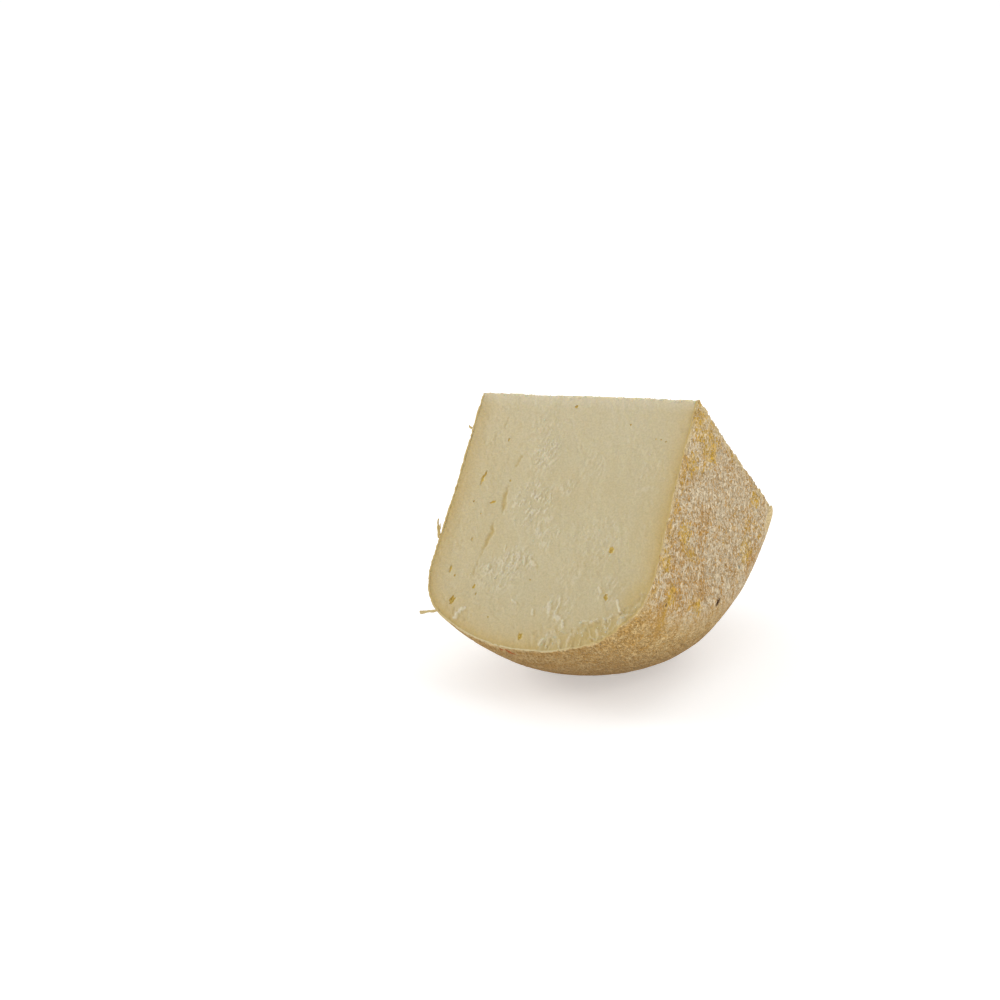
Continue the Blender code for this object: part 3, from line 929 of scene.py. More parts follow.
def eye_matrix(form, side, across, down, width, long, turned):
    """Places and sizes a ball so that it is half sunk in a cut and turned in its plane."""
    down_way, inward = form.cut_frame(side)
    size = Matrix.Diagonal((width / 2, long / 2, form.eye_depth * width, 1.0))
    spin = Matrix.Rotation(math.radians(turned), 4, "Z")
    axes = Matrix((Vector((0.0, 0.0, 1.0)), down_way, inward)).transposed().to_4x4()
    place = Matrix.Translation(form.on_cut(side, across, down, form.depth(side, across, down)))
    return form.placed @ place @ axes @ spin @ size


def eye_cutter(form):
    """All the eyes and pin holes: those of the front cut where they lie, and a seeded scatter on the back."""
    eyes = bmesh.new()
    draw = random.Random(RANDOM_SEED)
    for number, (across, down, width, long, turned) in enumerate(FRONT_EYES):
        matrix = eye_matrix(form, 1, across, down, width, long, turned)
        ragged_ball(eyes, matrix, number, max(long / width, 1.0))
    for number, (across, down, width, long) in enumerate(PIN_HOLES):
        matrix = eye_matrix(form, 1, across, down, width, long, 0)
        ragged_ball(eyes, matrix, number)
    count = int((CUT_REACH - BACK_EYE_START) / BACK_EYE_PITCH)
    for number in range(count):
        across = draw.uniform(-BACK_EYE_SPREAD, BACK_EYE_SPREAD)
        width = draw.uniform(*BACK_EYE_WIDTH)
        long = width * draw.uniform(*BACK_EYE_STRETCH)
        turned = draw.uniform(-BACK_EYE_TURN, BACK_EYE_TURN)
        down = BACK_EYE_START + BACK_EYE_PITCH * number
        matrix = eye_matrix(form, -1, across, down, width, long, turned)
        ragged_ball(eyes, matrix, number, long / width)
    for number in range(BACK_PIN_HOLES):
        across = draw.uniform(-BACK_EYE_SPREAD, BACK_EYE_SPREAD)
        down = draw.uniform(BACK_EYE_START, form.crown_centre + form.crown_radius - BACK_EYE_MARGIN)
        matrix = eye_matrix(form, -1, across, down, *BACK_PIN_HOLE, 0)
        ragged_ball(eyes, matrix, number)
    return finished("eye_openings", eyes)


def slit_place(form):
    """Places and sizes a ball as the dash-shaped slit in the rind of the +X face."""
    radius, degrees, width, long, depth, tilt = SLIT
    size = Matrix.Diagonal((long / 2, width / 2, depth, 1.0))
    spin = Matrix.Rotation(math.radians(tilt), 4, "Z")
    place = Matrix.Translation(form.placed.inverted() @ form.on_face(radius, degrees))
    return form.placed @ place @ spin @ size


def slit_cutter(form):
    """Opens the slit in the rind."""
    slit = bmesh.new()
    ragged_ball(slit, slit_place(form), 4.0)
    return finished("slit", slit)


def new_object(name, data):
    """Adds an object to the scene, from its mesh, curve, lamp or lens."""
    made = bpy.data.objects.new(name, data)
    bpy.context.scene.collection.objects.link(made)
    return made


def new_piece(name, places, faces):
    """A mesh object in the scene's own frame, from its points and triangles."""
    mesh = bpy.data.meshes.new(name)
    mesh.from_pydata(places, [], faces)
    built = bmesh.new()
    built.from_mesh(mesh)
    bpy.data.meshes.remove(mesh)
    return finished(name, built)


def finished(name, built):
    """Turns a drawing into an object whose faces point out."""
    bmesh.ops.recalc_face_normals(built, faces=built.faces[:])
    mesh = bpy.data.meshes.new(name)
    built.to_mesh(mesh)
    built.free()
    return new_object(name, mesh)


def bake(piece):
    """Turns a piece's modifiers into its plain mesh and takes them off."""
    graph = bpy.context.evaluated_depsgraph_get()
    solved = bpy.data.meshes.new_from_object(piece.evaluated_get(graph))
    piece.modifiers.clear()
    old = piece.data
    piece.data = solved
    bpy.data.meshes.remove(old)


def cut(piece, cutter, operation):
    """Applies one Boolean, removes the cutter, and stops if the result isn't a closed mesh."""
    step = piece.modifiers.new("cut", "BOOLEAN")
    step.operation = operation
    step.object = cutter
    step.solver = "MANIFOLD"
    before = len(piece.data.vertices)
    bake(piece)
    bpy.data.objects.remove(cutter, do_unlink=True)
    built = bmesh.new()
    built.from_mesh(piece.data)
    open_edges = sum(1 for edge in built.edges if len(edge.link_faces) != 2)
    built.free()
    if open_edges or len(piece.data.vertices) in (0, before):
        raise RuntimeError(f"{piece.name}: cut {operation} left {open_edges} open edges")


def drop_scraps(piece):
    """Keeps the largest connected part of a piece and lets loose scraps fall."""
    built = bmesh.new()
    built.from_mesh(piece.data)
    left = set(built.faces)
    islands = []
    while left:
        island = [left.pop()]
        for face in island:
            for edge in face.edges:
                for other in edge.link_faces:
                    if other in left:
                        left.discard(other)
                        island.append(other)
        islands.append(island)
    largest = max(islands, key=len)
    scraps = [face for island in islands if island is not largest for face in island]
    bmesh.ops.delete(built, geom=scraps, context="FACES")
    built.to_mesh(piece.data)
    built.free()


def mark(piece, name, values):
    """Stores one number or vector for each point of a piece, which its material reads."""
    old = piece.data.attributes.get(name)
    if old:
        piece.data.attributes.remove(old)
    if isinstance(values[0], Vector):
        made = piece.data.attributes.new(name, "FLOAT_VECTOR", "POINT")
        made.data.foreach_set("vector", [number for value in values for number in value])
    else:
        piece.data.attributes.new(name, "FLOAT", "POINT").data.foreach_set("value", values)


class SectionFinder:
    """Finds the nearest point of the wheel's section, for distances from the rind."""

    def __init__(self, form):
        self.form = form
        self.back = form.placed.inverted()
        self.points = form.section(FINDER_SPACING)
        self.tree = KDTree(len(self.points))
        for number, (radius, height, _way) in enumerate(self.points):
            self.tree.insert((radius, height, 0.0), number)
        self.tree.balance()

    def look(self, place):
        """A point in the wheel's frame, its distance from the rind and the rind's way out there."""
        home = self.back @ place
        _spot, number, distance = self.tree.find((math.hypot(home.x, home.y), home.z, 0.0))
        return home, distance, self.points[number][2]


def mark_paste(piece, form):
    """Gives the paste's points their distance from the rind, what the knife did to them, and where painted
    light and painted shade go.
    """
    finder = SectionFinder(form)
    marks = {"rind_distance": [], "hollow": [], "torn": [], "smear": [], "crumbly": [], "dull": []}
    for vert in piece.data.vertices:
        home, distance, _way = finder.look(vert.co)
        side = 1 if home.y < 0 else -1
        down_way, inward = form.cut_frame(side)
        across, down, depth = home.z, home.dot(down_way), home.dot(inward)
        hollow = torn = raised = broken = opened = pale = standing = 0.0
        below = down - form.crest_drop(across)
        if depth < EYE_MARK_DEPTH:
            hollow = ease((depth - form.depth(side, across, down) - EYE_START) / EYE_FADE)
        if side > 0 and depth < FRONT_MARK_DEPTH:
            # Painted highlight along the crest and painted light over the cut's upper part go into the smear
            # mark with the real smears
            raised = max(form.smeared(across, down), 1.4 * ease(1.0 - below / CREST_HIGHLIGHT))
            pale = sum(amount * ease(1.0 - below / reach) for amount, reach in PAINTED_LIGHT_STRIPS)
            opened = 1.3 * form.tear(across, down)
            torn = form.torn(across, down)
            if form.near_flakes(across, down):
                standing = form.flake(across, down)
                raised = max(raised, (1.05 - 0.55 * torn) * standing)
                # Painted shade beside each flake goes into the torn mark
                shade = form.flake(across - FLAKE_SHADE[0], down - FLAKE_SHADE[1])
                opened = max(opened, 0.55 * shade)
            golden_across, golden_down, golden_radius = GOLDEN_PLACE
            away = math.hypot(across - golden_across, down - golden_down) / golden_radius
            opened = max(opened, 0.8 * ease(1.4 - away))
            if torn > 0.0:
                # The crags' pale +across edges are partly pale broken paste and partly painted highlight
                standing = max(standing, form.crags(across, down)[1])
                broken = 0.5 * torn * standing + 1.3 * torn * (1.0 - torn)
        # Painted shade, darker low down and towards the -X rim
        dull = PAINTED_SHADE_DOWN[0] * rise_of(down, *PAINTED_SHADE_DOWN[1:])
        dull += PAINTED_SHADE_ACROSS[0] * rise_of(across, *PAINTED_SHADE_ACROSS[1:])
        # The torn paste's own golden colour, deeper in the hollows as painted shade
        torn_and_shade = torn * (0.7 + 0.4 * rise_of(depth, *TORN_SHADE_DEPTHS)) * (1.0 - 0.7 * standing)
        crest = 0.8 * ease(1.3 - below / CREST_CRUMBS)
        marks["dull"].append(dull)
        marks["rind_distance"].append(distance)
        marks["hollow"].append(hollow)
        marks["torn"].append(max(torn_and_shade, opened))
        marks["smear"].append(max(raised, broken, pale))
        marks["crumbly"].append(min(broken, 1.0) + 0.25 * raised + crest)
    for name, values in marks.items():
        mark(piece, name, values)


def mark_rind(piece, form):
    """Gives the rind's points how far they are on the wheel's side and from a cut, the tab, the slit with its
    painted shade, and the faces turned down that get painted shade.
    """
    finder = SectionFinder(form)
    names = ("side", "from_cut", "from_front", "tab", "back_rim", "rolled", "slit", "underside")
    marks = {name: [] for name in names}
    slit = slit_place(form).inverted() @ form.placed
    for vert in piece.data.vertices:
        home, _distance, way = finder.look(vert.co)
        radius = math.hypot(home.x, home.y)
        rolled = Vector((STREAK_SHARE * math.atan2(home.y, home.x), home.z, radius))
        from_front, from_back = (home.dot(form.cut_frame(which)[1]) for which in (1, -1))
        down = home.dot(form.cut_frame(-1)[0])
        ragged = TAB_RAG * ripple(home.z / TAB_RAG_WIDTH, down / TAB_RAG_WIDTH, from_back / TAB_RAG_WIDTH)
        width = TAB_WIDTH * (1.0 - 0.5 * rise_of(down, TAB_START, TAB_END))
        tab = rise_of(from_back + ragged, width, 0.5 * width) * rise_of(down, TAB_START - 0.001, TAB_START)
        marks["side"].append(math.cos(way) - SIDE_LOSS * rise_of(home.y, 0.0, SIDE_LOSS_REACH))
        # Painted shade on faces turned down to the table
        marks["underside"].append(rise_of(-vert.normal.z, UNDERSIDE_SLOPE, 1.0))
        marks["from_cut"].append(max(min(from_front, from_back), 0.0))
        marks["from_front"].append(max(from_front, 0.0))
        marks["back_rim"].append(rise_of(from_back, *BACK_RIM) * rise_of(down, *BACK_RIM_DOWN))
        marks["tab"].append(tab * rise_of(home.z, *TAB_ACROSS) * rise_of(down, *TAB_FOOT))
        # Where the slit's painted shade goes
        marks["slit"].append(ease(2.6 - 1.4 * (slit @ home).length))
        marks["rolled"].append(SIDE_FINER * rolled)
    for name, values in marks.items():
        mark(piece, name, values)


def mark_cut_edge(piece, form):
    """Gives the strip that the knife left on the rind the material of the cut edge."""
    turned = form.placed.to_3x3()
    ways = [turned @ form.cut_frame(side)[1] for side in (1, -1)]
    for face in piece.data.polygons:
        if max(-face.normal.dot(way) for way in ways) > EDGE_SLOPE:
            face.material_index = 1


def smooth(piece, degrees):
    """Shades a piece smooth, except at edges that turn by more than the angle."""
    piece.data.shade_smooth()
    piece.data.set_sharp_from_angle(angle=math.radians(degrees))


def node(tree, kind, inputs=None, **settings):
    """Adds a node, sets its options, and gives its inputs a value or a link each."""
    made = tree.nodes.new(kind)
    for name, value in settings.items():
        setattr(made, name, value)
    for key, value in (inputs or {}).items():
        if isinstance(value, bpy.types.NodeSocket):
            tree.links.new(value, made.inputs[key])
        else:
            made.inputs[key].default_value = value
    return made


def sums(tree, operation, first, second=0.0):
    """A Math node's result."""
    return node(tree, "ShaderNodeMath", {0: first, 1: second}, operation=operation).outputs[0]


def vectors(tree, operation, inputs):
    """A Vector Math node, its inputs named by their numbers."""
    return node(tree, "ShaderNodeVectorMath", inputs, operation=operation)


def rise(tree, value, start, end, low=0.0, high=1.0):
    """Maps a value that goes from start to end smoothly onto low to high."""
    return node(
        tree,
        "ShaderNodeMapRange",
        {"Value": value, "From Min": start, "From Max": end, "To Min": low, "To Max": high},
        interpolation_type="SMOOTHSTEP",
    ).outputs["Result"]


def cloud(tree, place, scale, detail=2.0, roughness=0.5, distortion=0.0):
    """A noise texture's value, about 0.5, in a shader or a geometry tree."""
    return node(
        tree,
        "ShaderNodeTexNoise",
        {"Vector": place, "Scale": scale, "Detail": detail, "Roughness": roughness, "Distortion": distortion},
    ).outputs[0]


def blend_colour(tree, amount, first, second):
    """Mixes two colours, each a socket or a plain colour."""
    mixed = node(tree, "ShaderNodeMix", {0: amount}, data_type="RGBA")
    for socket, value in ((6, first), (7, second)):
        if isinstance(value, bpy.types.NodeSocket):
            tree.links.new(value, mixed.inputs[socket])
        else:
            mixed.inputs[socket].default_value = (*value, 1.0)
    return mixed.outputs[2]


def lay_over(tree, body, tint, mask, amount=1.0):
    """Lays a colour over the body where a mask shows it, at most as strongly as the amount."""
    return blend_colour(tree, sums(tree, "MULTIPLY", mask, amount), body, tint)


def stored(tree, name, kind="FLOAT"):
    """A value that is stored on the points, in a geometry tree."""
    return node(tree, "GeometryNodeInputNamedAttribute", {0: name}, data_type=kind).outputs["Attribute"]


def attribute(tree, name, output="Fac"):
    """A value that is stored on the points, in a material."""
    return node(tree, "ShaderNodeAttribute", attribute_name=name).outputs[output]


def new_group(name, kind, inputs, outputs):
    """An empty node group and its two end nodes. An input has a default or the kind of its socket."""
    tree = bpy.data.node_groups.new(name, kind)
    for socket, value in inputs.items():
        socket_kind = value if isinstance(value, str) else SOCKET_KINDS[type(value)]
        made = tree.interface.new_socket(name=socket, in_out="INPUT", socket_type=socket_kind)
        if socket_kind != value:
            made.default_value = value
    for socket, socket_kind in outputs.items():
        tree.interface.new_socket(name=socket, in_out="OUTPUT", socket_type=socket_kind)
    return tree, tree.nodes.new("NodeGroupInput"), tree.nodes.new("NodeGroupOutput")


def add_pits(tree, place, spacing):
    """The bloom's pits in a shader or a geometry tree: 1 in a pit and 0 on the bloom between."""
    scale = sums(tree, "DIVIDE", 1.75, spacing)
    return rise(tree, cloud(tree, place, scale, 1.8, 0.55, 0.4), 0.46, 0.66)


def upright_place(tree, place):
    """Object coordinates squeezed in height, so that the face's pits come out taller than wide."""
    return vectors(tree, "MULTIPLY", {0: place, 1: (1.0, 1.0, 0.85)}).outputs[0]


def pits_group():
    """The shader group with the pits' mask, the flecks of pale bloom and a finer dust."""
    tree, start, end = new_group(
        "Bloom pits",
        "ShaderNodeTree",
        {"Vector": VECTOR, "Pit Spacing": 0.0022},
        {"Pit": FLOAT, "Fleck": FLOAT, "Dust": FLOAT},
    )
    place = start.outputs["Vector"]
    spacing = start.outputs["Pit Spacing"]
    fleck_scale = sums(tree, "DIVIDE", 2.1, spacing)
    tree.links.new(add_pits(tree, place, spacing), end.inputs["Pit"])
    fine = rise(tree, cloud(tree, place, fleck_scale, 3.0, 0.75, 0.3), 0.47, 0.57)
    bend = cloud(tree, place, sums(tree, "DIVIDE", 1.15, spacing), 2.0, 0.55, 0.8)
    from_middle = sums(tree, "ABSOLUTE", sums(tree, "SUBTRACT", bend, 0.5))
    worm = rise(tree, from_middle, 0.075, 0.035)
    tree.links.new(sums(tree, "MAXIMUM", sums(tree, "MULTIPLY", fine, 0.6), worm), end.inputs["Fleck"])
    tree.links.new(cloud(tree, place, 1900.0, 2.0, 0.6), end.inputs["Dust"])
    return tree


def mottle_group():
    """A patchy mask that paste and rind both use: large soft patches broken up by finer ones."""
    tree, start, end = new_group(
        "Mottle",
        "ShaderNodeTree",
        {"Vector": VECTOR, "Patch Width": 0.012, "Low": 0.40, "High": 0.60},
        {"Mask": FLOAT},
    )
    scale = sums(tree, "DIVIDE", 1.0, start.outputs["Patch Width"])
    value = cloud(tree, start.outputs["Vector"], scale, 5.0, 0.6, 0.3)
    tree.links.new(rise(tree, value, start.outputs["Low"], start.outputs["High"]), end.inputs["Mask"])
    return tree


def spot_group():
    """The mask of one ragged spot or stain round a place."""
    tree, start, end = new_group(
        "Spot",
        "ShaderNodeTree",
        {"Vector": VECTOR, "Centre": VECTOR, "Radius": 0.005},
        {"Mask": FLOAT},
    )
    place = start.outputs["Vector"]
    gap = vectors(tree, "DISTANCE", {0: place, 1: start.outputs["Centre"]})
    near = sums(tree, "DIVIDE", gap.outputs["Value"], start.outputs["Radius"])
    ragged = sums(tree, "MULTIPLY", sums(tree, "SUBTRACT", cloud(tree, place, 500.0, 3.0, 0.6), 0.5), 2.0)
    tree.links.new(rise(tree, sums(tree, "ADD", near, ragged), 1.1, 0.5), end.inputs["Mask"])
    return tree


class Shading:
    """A new material's tree, its Principled BSDF, object coordinates and group nodes."""

    def __init__(self, name, viewport_colour):
        self.material = bpy.data.materials.new(name)
        self.material.use_nodes = True
        self.material.diffuse_color = (*viewport_colour, 1.0)
        self.tree = self.material.node_tree
        self.shader = self.tree.nodes["Principled BSDF"]
        self.place = self.tree.nodes.new("ShaderNodeTexCoord").outputs["Object"]

    def group(self, group, place=None, **inputs):
        """Places a shared group, with object coordinates if it is given no others."""
        made = self.tree.nodes.new("ShaderNodeGroup")
        made.node_tree = group
        self.tree.links.new(place or self.place, made.inputs["Vector"])
        for name, value in inputs.items():
            made.inputs[name.replace("_", " ")].default_value = value
        return made

    def link(self, socket, name):
        """Feeds one of the shader's sockets."""
        self.tree.links.new(socket, self.shader.inputs[name])

    def set(self, **values):
        """Sets the shader's own sockets to plain values."""
        for name, value in values.items():
            self.shader.inputs[name.replace("_", " ")].default_value = value

    def bump(self, height, distance):
        """Roughens the surface by a height, which stands for the distance at 1."""
        made = node(self.tree, "ShaderNodeBump", {"Height": height, "Distance": distance})
        self.link(made.outputs["Normal"], "Normal")


def paste_material(look, mottle):
    """Waxy pale paste, golden next to the rind and where it is torn, darker gold inside the eyes."""
    made = Shading("pecorino_paste", look.paste)
    tree = made.tree
    patches = made.group(mottle, Patch_Width=0.020, Low=0.35, High=0.68).outputs["Mask"]
    body = lay_over(tree, look.paste, look.golden, patches, 0.12)
    distance = attribute(tree, "rind_distance")
    for width, amount in ((look.band, 0.75), (look.rim_band, 0.80)):
        near = sums(tree, "POWER", math.e, sums(tree, "MULTIPLY", distance, -1.0 / width))
        body = lay_over(tree, body, look.golden, near, amount)
    # The torn mark also holds painted shade beside the flakes and in the torn band's hollows
    body = lay_over(tree, body, look.torn, attribute(tree, "torn"), 0.75)
    # The smear mark also holds painted highlight on the crest and the crags' edges, and painted light over
    # the cut's upper part
    body = lay_over(tree, body, look.smear, attribute(tree, "smear"), 0.78)
    body = lay_over(tree, body, look.eye, attribute(tree, "hollow"))
    speckle = rise(tree, cloud(tree, made.place, 1500.0, 1.0, 0.5), 0.35, 0.65, 0.955, 1.045)
    # Painted shade darkens the cut low down and towards its -X rim
    speckle = sums(tree, "SUBTRACT", speckle, attribute(tree, "dull"))
    speckled = node(tree, "ShaderNodeHueSaturation", {"Color": body, "Value": speckle})
    made.link(speckled.outputs["Color"], "Base Color")
    made.set(Subsurface_Weight=look.softness, Subsurface_Scale=0.003, Subsurface_Radius=(1.0, 0.75, 0.4))
    made.set(Specular_IOR_Level=0.35)
    grain = cloud(tree, made.place, 900.0, 3.0, 0.6)
    made.link(rise(tree, grain, 0.3, 0.7, look.roughness - 0.08, look.roughness + 0.08), "Roughness")
    made.bump(grain, 0.00012)
    return made.material


def any_spot(made, form, group, spots, mask):
    """A mask with round spots of the +X face added, each as ((radius, turn), size)."""
    for centre, size in spots:
        spot = made.group(group, Centre=form.on_face(*centre), Radius=size)
        mask = sums(made.tree, "MAXIMUM", mask, spot.outputs["Mask"])
    return mask


def yellow_mask(made, form, groups, patchy):
    """Where the bloom is thin: in a few large patches, along the front cut and in the yellow spots."""
    tree = made.tree
    yellow = made.group(groups["mottle"], Patch_Width=0.015, Low=0.53, High=0.70).outputs["Mask"]
    from_front = attribute(tree, "from_front")
    near_cut = sums(tree, "MULTIPLY", rise(tree, from_front, *YELLOW_BAND), 0.66)
    near_cut = sums(tree, "MULTIPLY", near_cut, rise(tree, from_front, *YELLOW_BAND_EDGE, 0.3, 1.0))
    near_cut = sums(tree, "MULTIPLY", near_cut, rise(tree, patchy, 1.0, 0.0, 0.5, 1.0))
    yellow = sums(tree, "MAXIMUM", yellow, near_cut)
    return any_spot(made, form, groups["spot"], YELLOW_SPOTS, yellow)


def bloom_cover(made, form, groups, masks):
    """How much of the ochre ground the bloom covers, from 0 to 1."""
    tree = made.tree
    cover = sums(tree, "MULTIPLY", masks["fleck"], 0.90)
    cover = sums(tree, "ADD", cover, sums(tree, "MULTIPLY", masks["patchy"], 0.42))
    bare = sums(tree, "MULTIPLY", masks["yellow"], 0.42)
    bare = sums(tree, "ADD", bare, sums(tree, "MULTIPLY", masks["side"], 0.25))
    bare = sums(tree, "ADD", bare, rise(tree, attribute(tree, "from_front"), *WORN_BAND, 0.0, 0.05))
    ochre = any_spot(made, form, groups["spot"], OCHRE_SPOTS, 0.0)
    bare = sums(tree, "ADD", bare, sums(tree, "MULTIPLY", ochre, 0.36))
    return node(tree, "ShaderNodeClamp", {0: sums(tree, "SUBTRACT", cover, bare)}).outputs[0]


def rind_material(look, form, groups):
    """Flecks of pale bloom over an ochre ground, yellow where it is thin, with painted shade, browner in the
    pits, towards the table and on faces turned down.
    """
    made = Shading("pecorino_rind", look.bloom)
    tree = made.tree
    side = rise(tree, attribute(tree, "side"), *SIDE_SHARES)
    tab = attribute(tree, "tab")
    upright, rolled = upright_place(tree, made.place), attribute(tree, "rolled", "Vector")
    of_face = made.group(groups["pits"], upright, Pit_Spacing=look.pit_spacing).outputs
    of_side = made.group(groups["pits"], rolled, Pit_Spacing=look.pit_spacing).outputs
    pit, fleck, dust = (
        node(tree, "ShaderNodeMix", {0: side, 2: of_face[name], 3: of_side[name]}).outputs[0]
        for name in ("Pit", "Fleck", "Dust")
    )
    pit = sums(tree, "MULTIPLY", pit, sums(tree, "SUBTRACT", 1.0, tab))
    patchy = made.group(groups["mottle"], Patch_Width=0.0065, Low=0.38, High=0.62).outputs["Mask"]
    yellow = yellow_mask(made, form, groups, patchy)
    masks = {"fleck": fleck, "patchy": patchy, "yellow": yellow, "side": side}
    ground = lay_over(tree, look.pit, look.yellow, yellow)
    ground = lay_over(tree, ground, look.side, side)
    bloom = lay_over(tree, look.bloom, look.side_bloom, side)
    body = lay_over(tree, ground, bloom, bloom_cover(made, form, groups, masks))
    # Painted shade in the pits, towards the table and on faces turned down
    body = lay_over(tree, body, look.under, pit, 0.38)
    height = node(tree, "ShaderNodeSeparateXYZ", {0: made.place}).outputs["Z"]
    body = lay_over(tree, body, look.under, rise(tree, height, LOW_RIND, 0.0), 0.57)
    body = lay_over(tree, body, look.under, attribute(tree, "underside"), 0.57)
    crumbly_rim = rise(tree, attribute(tree, "from_cut"), *CRUMBLY_RIM)
    crumbly_rim = sums(tree, "MULTIPLY", crumbly_rim, rise(tree, patchy, 0.0, 1.0, 0.2, 1.0))
    body = lay_over(tree, body, look.tab, crumbly_rim, 0.8)
    body = lay_over(tree, body, look.pit, attribute(tree, "back_rim"), 0.5)
    body = lay_over(tree, body, look.tab, tab, 0.88)
    # Painted shade inside the slit
    body = lay_over(tree, body, look.slit, attribute(tree, "slit"))
    spots = [(form.on_face(*centre), size, tint) for centre, size, tint in DARK_SPECKS]
    spots += [(form.on_side(*centre), size, tint) for centre, size, tint in SIDE_STAINS]
    for centre, size, tint in spots:
        spot = made.group(groups["spot"], Centre=centre, Radius=size)
        body = lay_over(tree, body, tint, spot.outputs["Mask"])
    value = rise(tree, dust, 0.3, 0.7, 0.84, 1.14)
    dusty = node(tree, "ShaderNodeHueSaturation", {"Color": body, "Value": value})
    made.link(dusty.outputs["Color"], "Base Color")
    made.set(Roughness=look.roughness, Specular_IOR_Level=0.25)
    raised = sums(tree, "ADD", sums(tree, "MULTIPLY", dust, 0.4), sums(tree, "MULTIPLY", fleck, 0.8))
    made.bump(sums(tree, "SUBTRACT", raised, pit), 0.00036)
    return made.material


def edge_material(look, mottle):
    """The pale edge of the rind where the knife went through it."""
    made = Shading("pecorino_rind_edge", look.edge)
    patches = made.group(mottle, Patch_Width=0.004, Low=0.40, High=0.65).outputs["Mask"]
    height = node(made.tree, "ShaderNodeSeparateXYZ", {0: made.place}).outputs["Z"]
    upper = rise(made.tree, height, 0.020, 0.036, 0.0, 0.9)
    amount = sums(made.tree, "MAXIMUM", upper, sums(made.tree, "MULTIPLY", patches, 0.4))
    made.link(blend_colour(made.tree, amount, look.edge, look.golden_edge), "Base Color")
    made.set(Roughness=0.7, Specular_IOR_Level=0.3)
    made.bump(cloud(made.tree, made.place, 1500.0, 2.0, 0.6), 0.0001)
    return made.material


def pitted_skin(piece, look):
    """Sinks the bloom's pits into the rind's skin, with a geometry tree that has the material's pattern."""
    tree, start, end = new_group(
        "Pitted bloom",
        "GeometryNodeTree",
        {"Geometry": GEOMETRY, "Pit Spacing": 0.0022, "Pit Depth": 0.0002, "Material": MATERIAL},
        {"Geometry": GEOMETRY},
    )
    place = tree.nodes.new("GeometryNodeInputPosition").outputs[0]
    normal = tree.nodes.new("GeometryNodeInputNormal").outputs[0]
    spacing = start.outputs["Pit Spacing"]
    side = rise(tree, stored(tree, "side"), *PITTED_SIDE_SHARES)
    face_pit = add_pits(tree, upright_place(tree, place), spacing)
    side_pit = add_pits(tree, stored(tree, "rolled", "FLOAT_VECTOR"), spacing)
    pit = node(tree, "ShaderNodeMix", {0: side, 2: face_pit, 3: side_pit}).outputs[0]
    depth = sums(tree, "MULTIPLY", pit, sums(tree, "MULTIPLY", start.outputs["Pit Depth"], -1.0))
    offset = vectors(tree, "SCALE", {0: normal, 3: depth}).outputs[0]
    moved = node(tree, "GeometryNodeSetPosition", {"Geometry": start.outputs["Geometry"], "Offset": offset})
    real = node(tree, "GeometryNodeRealizeInstances", {"Geometry": moved.outputs[0]})
    dressed = node(
        tree, "GeometryNodeSetMaterial", {"Geometry": real.outputs[0], "Material": start.outputs["Material"]}
    )
    tree.links.new(dressed.outputs[0], end.inputs["Geometry"])
    step = piece.modifiers.new("pits", "NODES")
    step.node_group = tree
    set_inputs(step, {"Pit Spacing": look.pit_spacing, "Pit Depth": look.pit_depth})
    bake(piece)


def strand(name, form, route, tip):
    """A thin strand of rind along a smooth route over the cut's rim, ending in a knob or a point."""
    curve = bpy.data.curves.new(name, "CURVE")
    curve.dimensions = "3D"
    curve.bevel_depth = STRAND_RADIUS
    curve.bevel_resolution = 2
    curve.resolution_u = 6
    curve.use_fill_caps = True
    line = curve.splines.new("NURBS")
    line.points.add(len(route) - 1)
    line.order_u = 3
    line.use_endpoint_u = True
    for number, (across, down, off) in enumerate(route):
        point = line.points[number]
        point.co = (*(form.placed @ form.on_cut(1, across, down, -off)), 1.0)
        point.radius = 1.0 if number < len(route) - 1 else tip
    drawn = new_object(name + "_line", curve)
    graph = bpy.context.evaluated_depsgraph_get()
    built = bmesh.new()
    built.from_mesh(bpy.data.meshes.new_from_object(drawn.evaluated_get(graph)))
    bpy.data.objects.remove(drawn, do_unlink=True)
    bmesh.ops.remove_doubles(built, verts=built.verts[:], dist=1e-6)
    for vert in built.verts:
        vert.co += STRAND_CROOK * noise.noise_vector(vert.co / STRAND_CROOK_LENGTH)
    made = finished(name, built)
    smooth(made, 70)
    return made


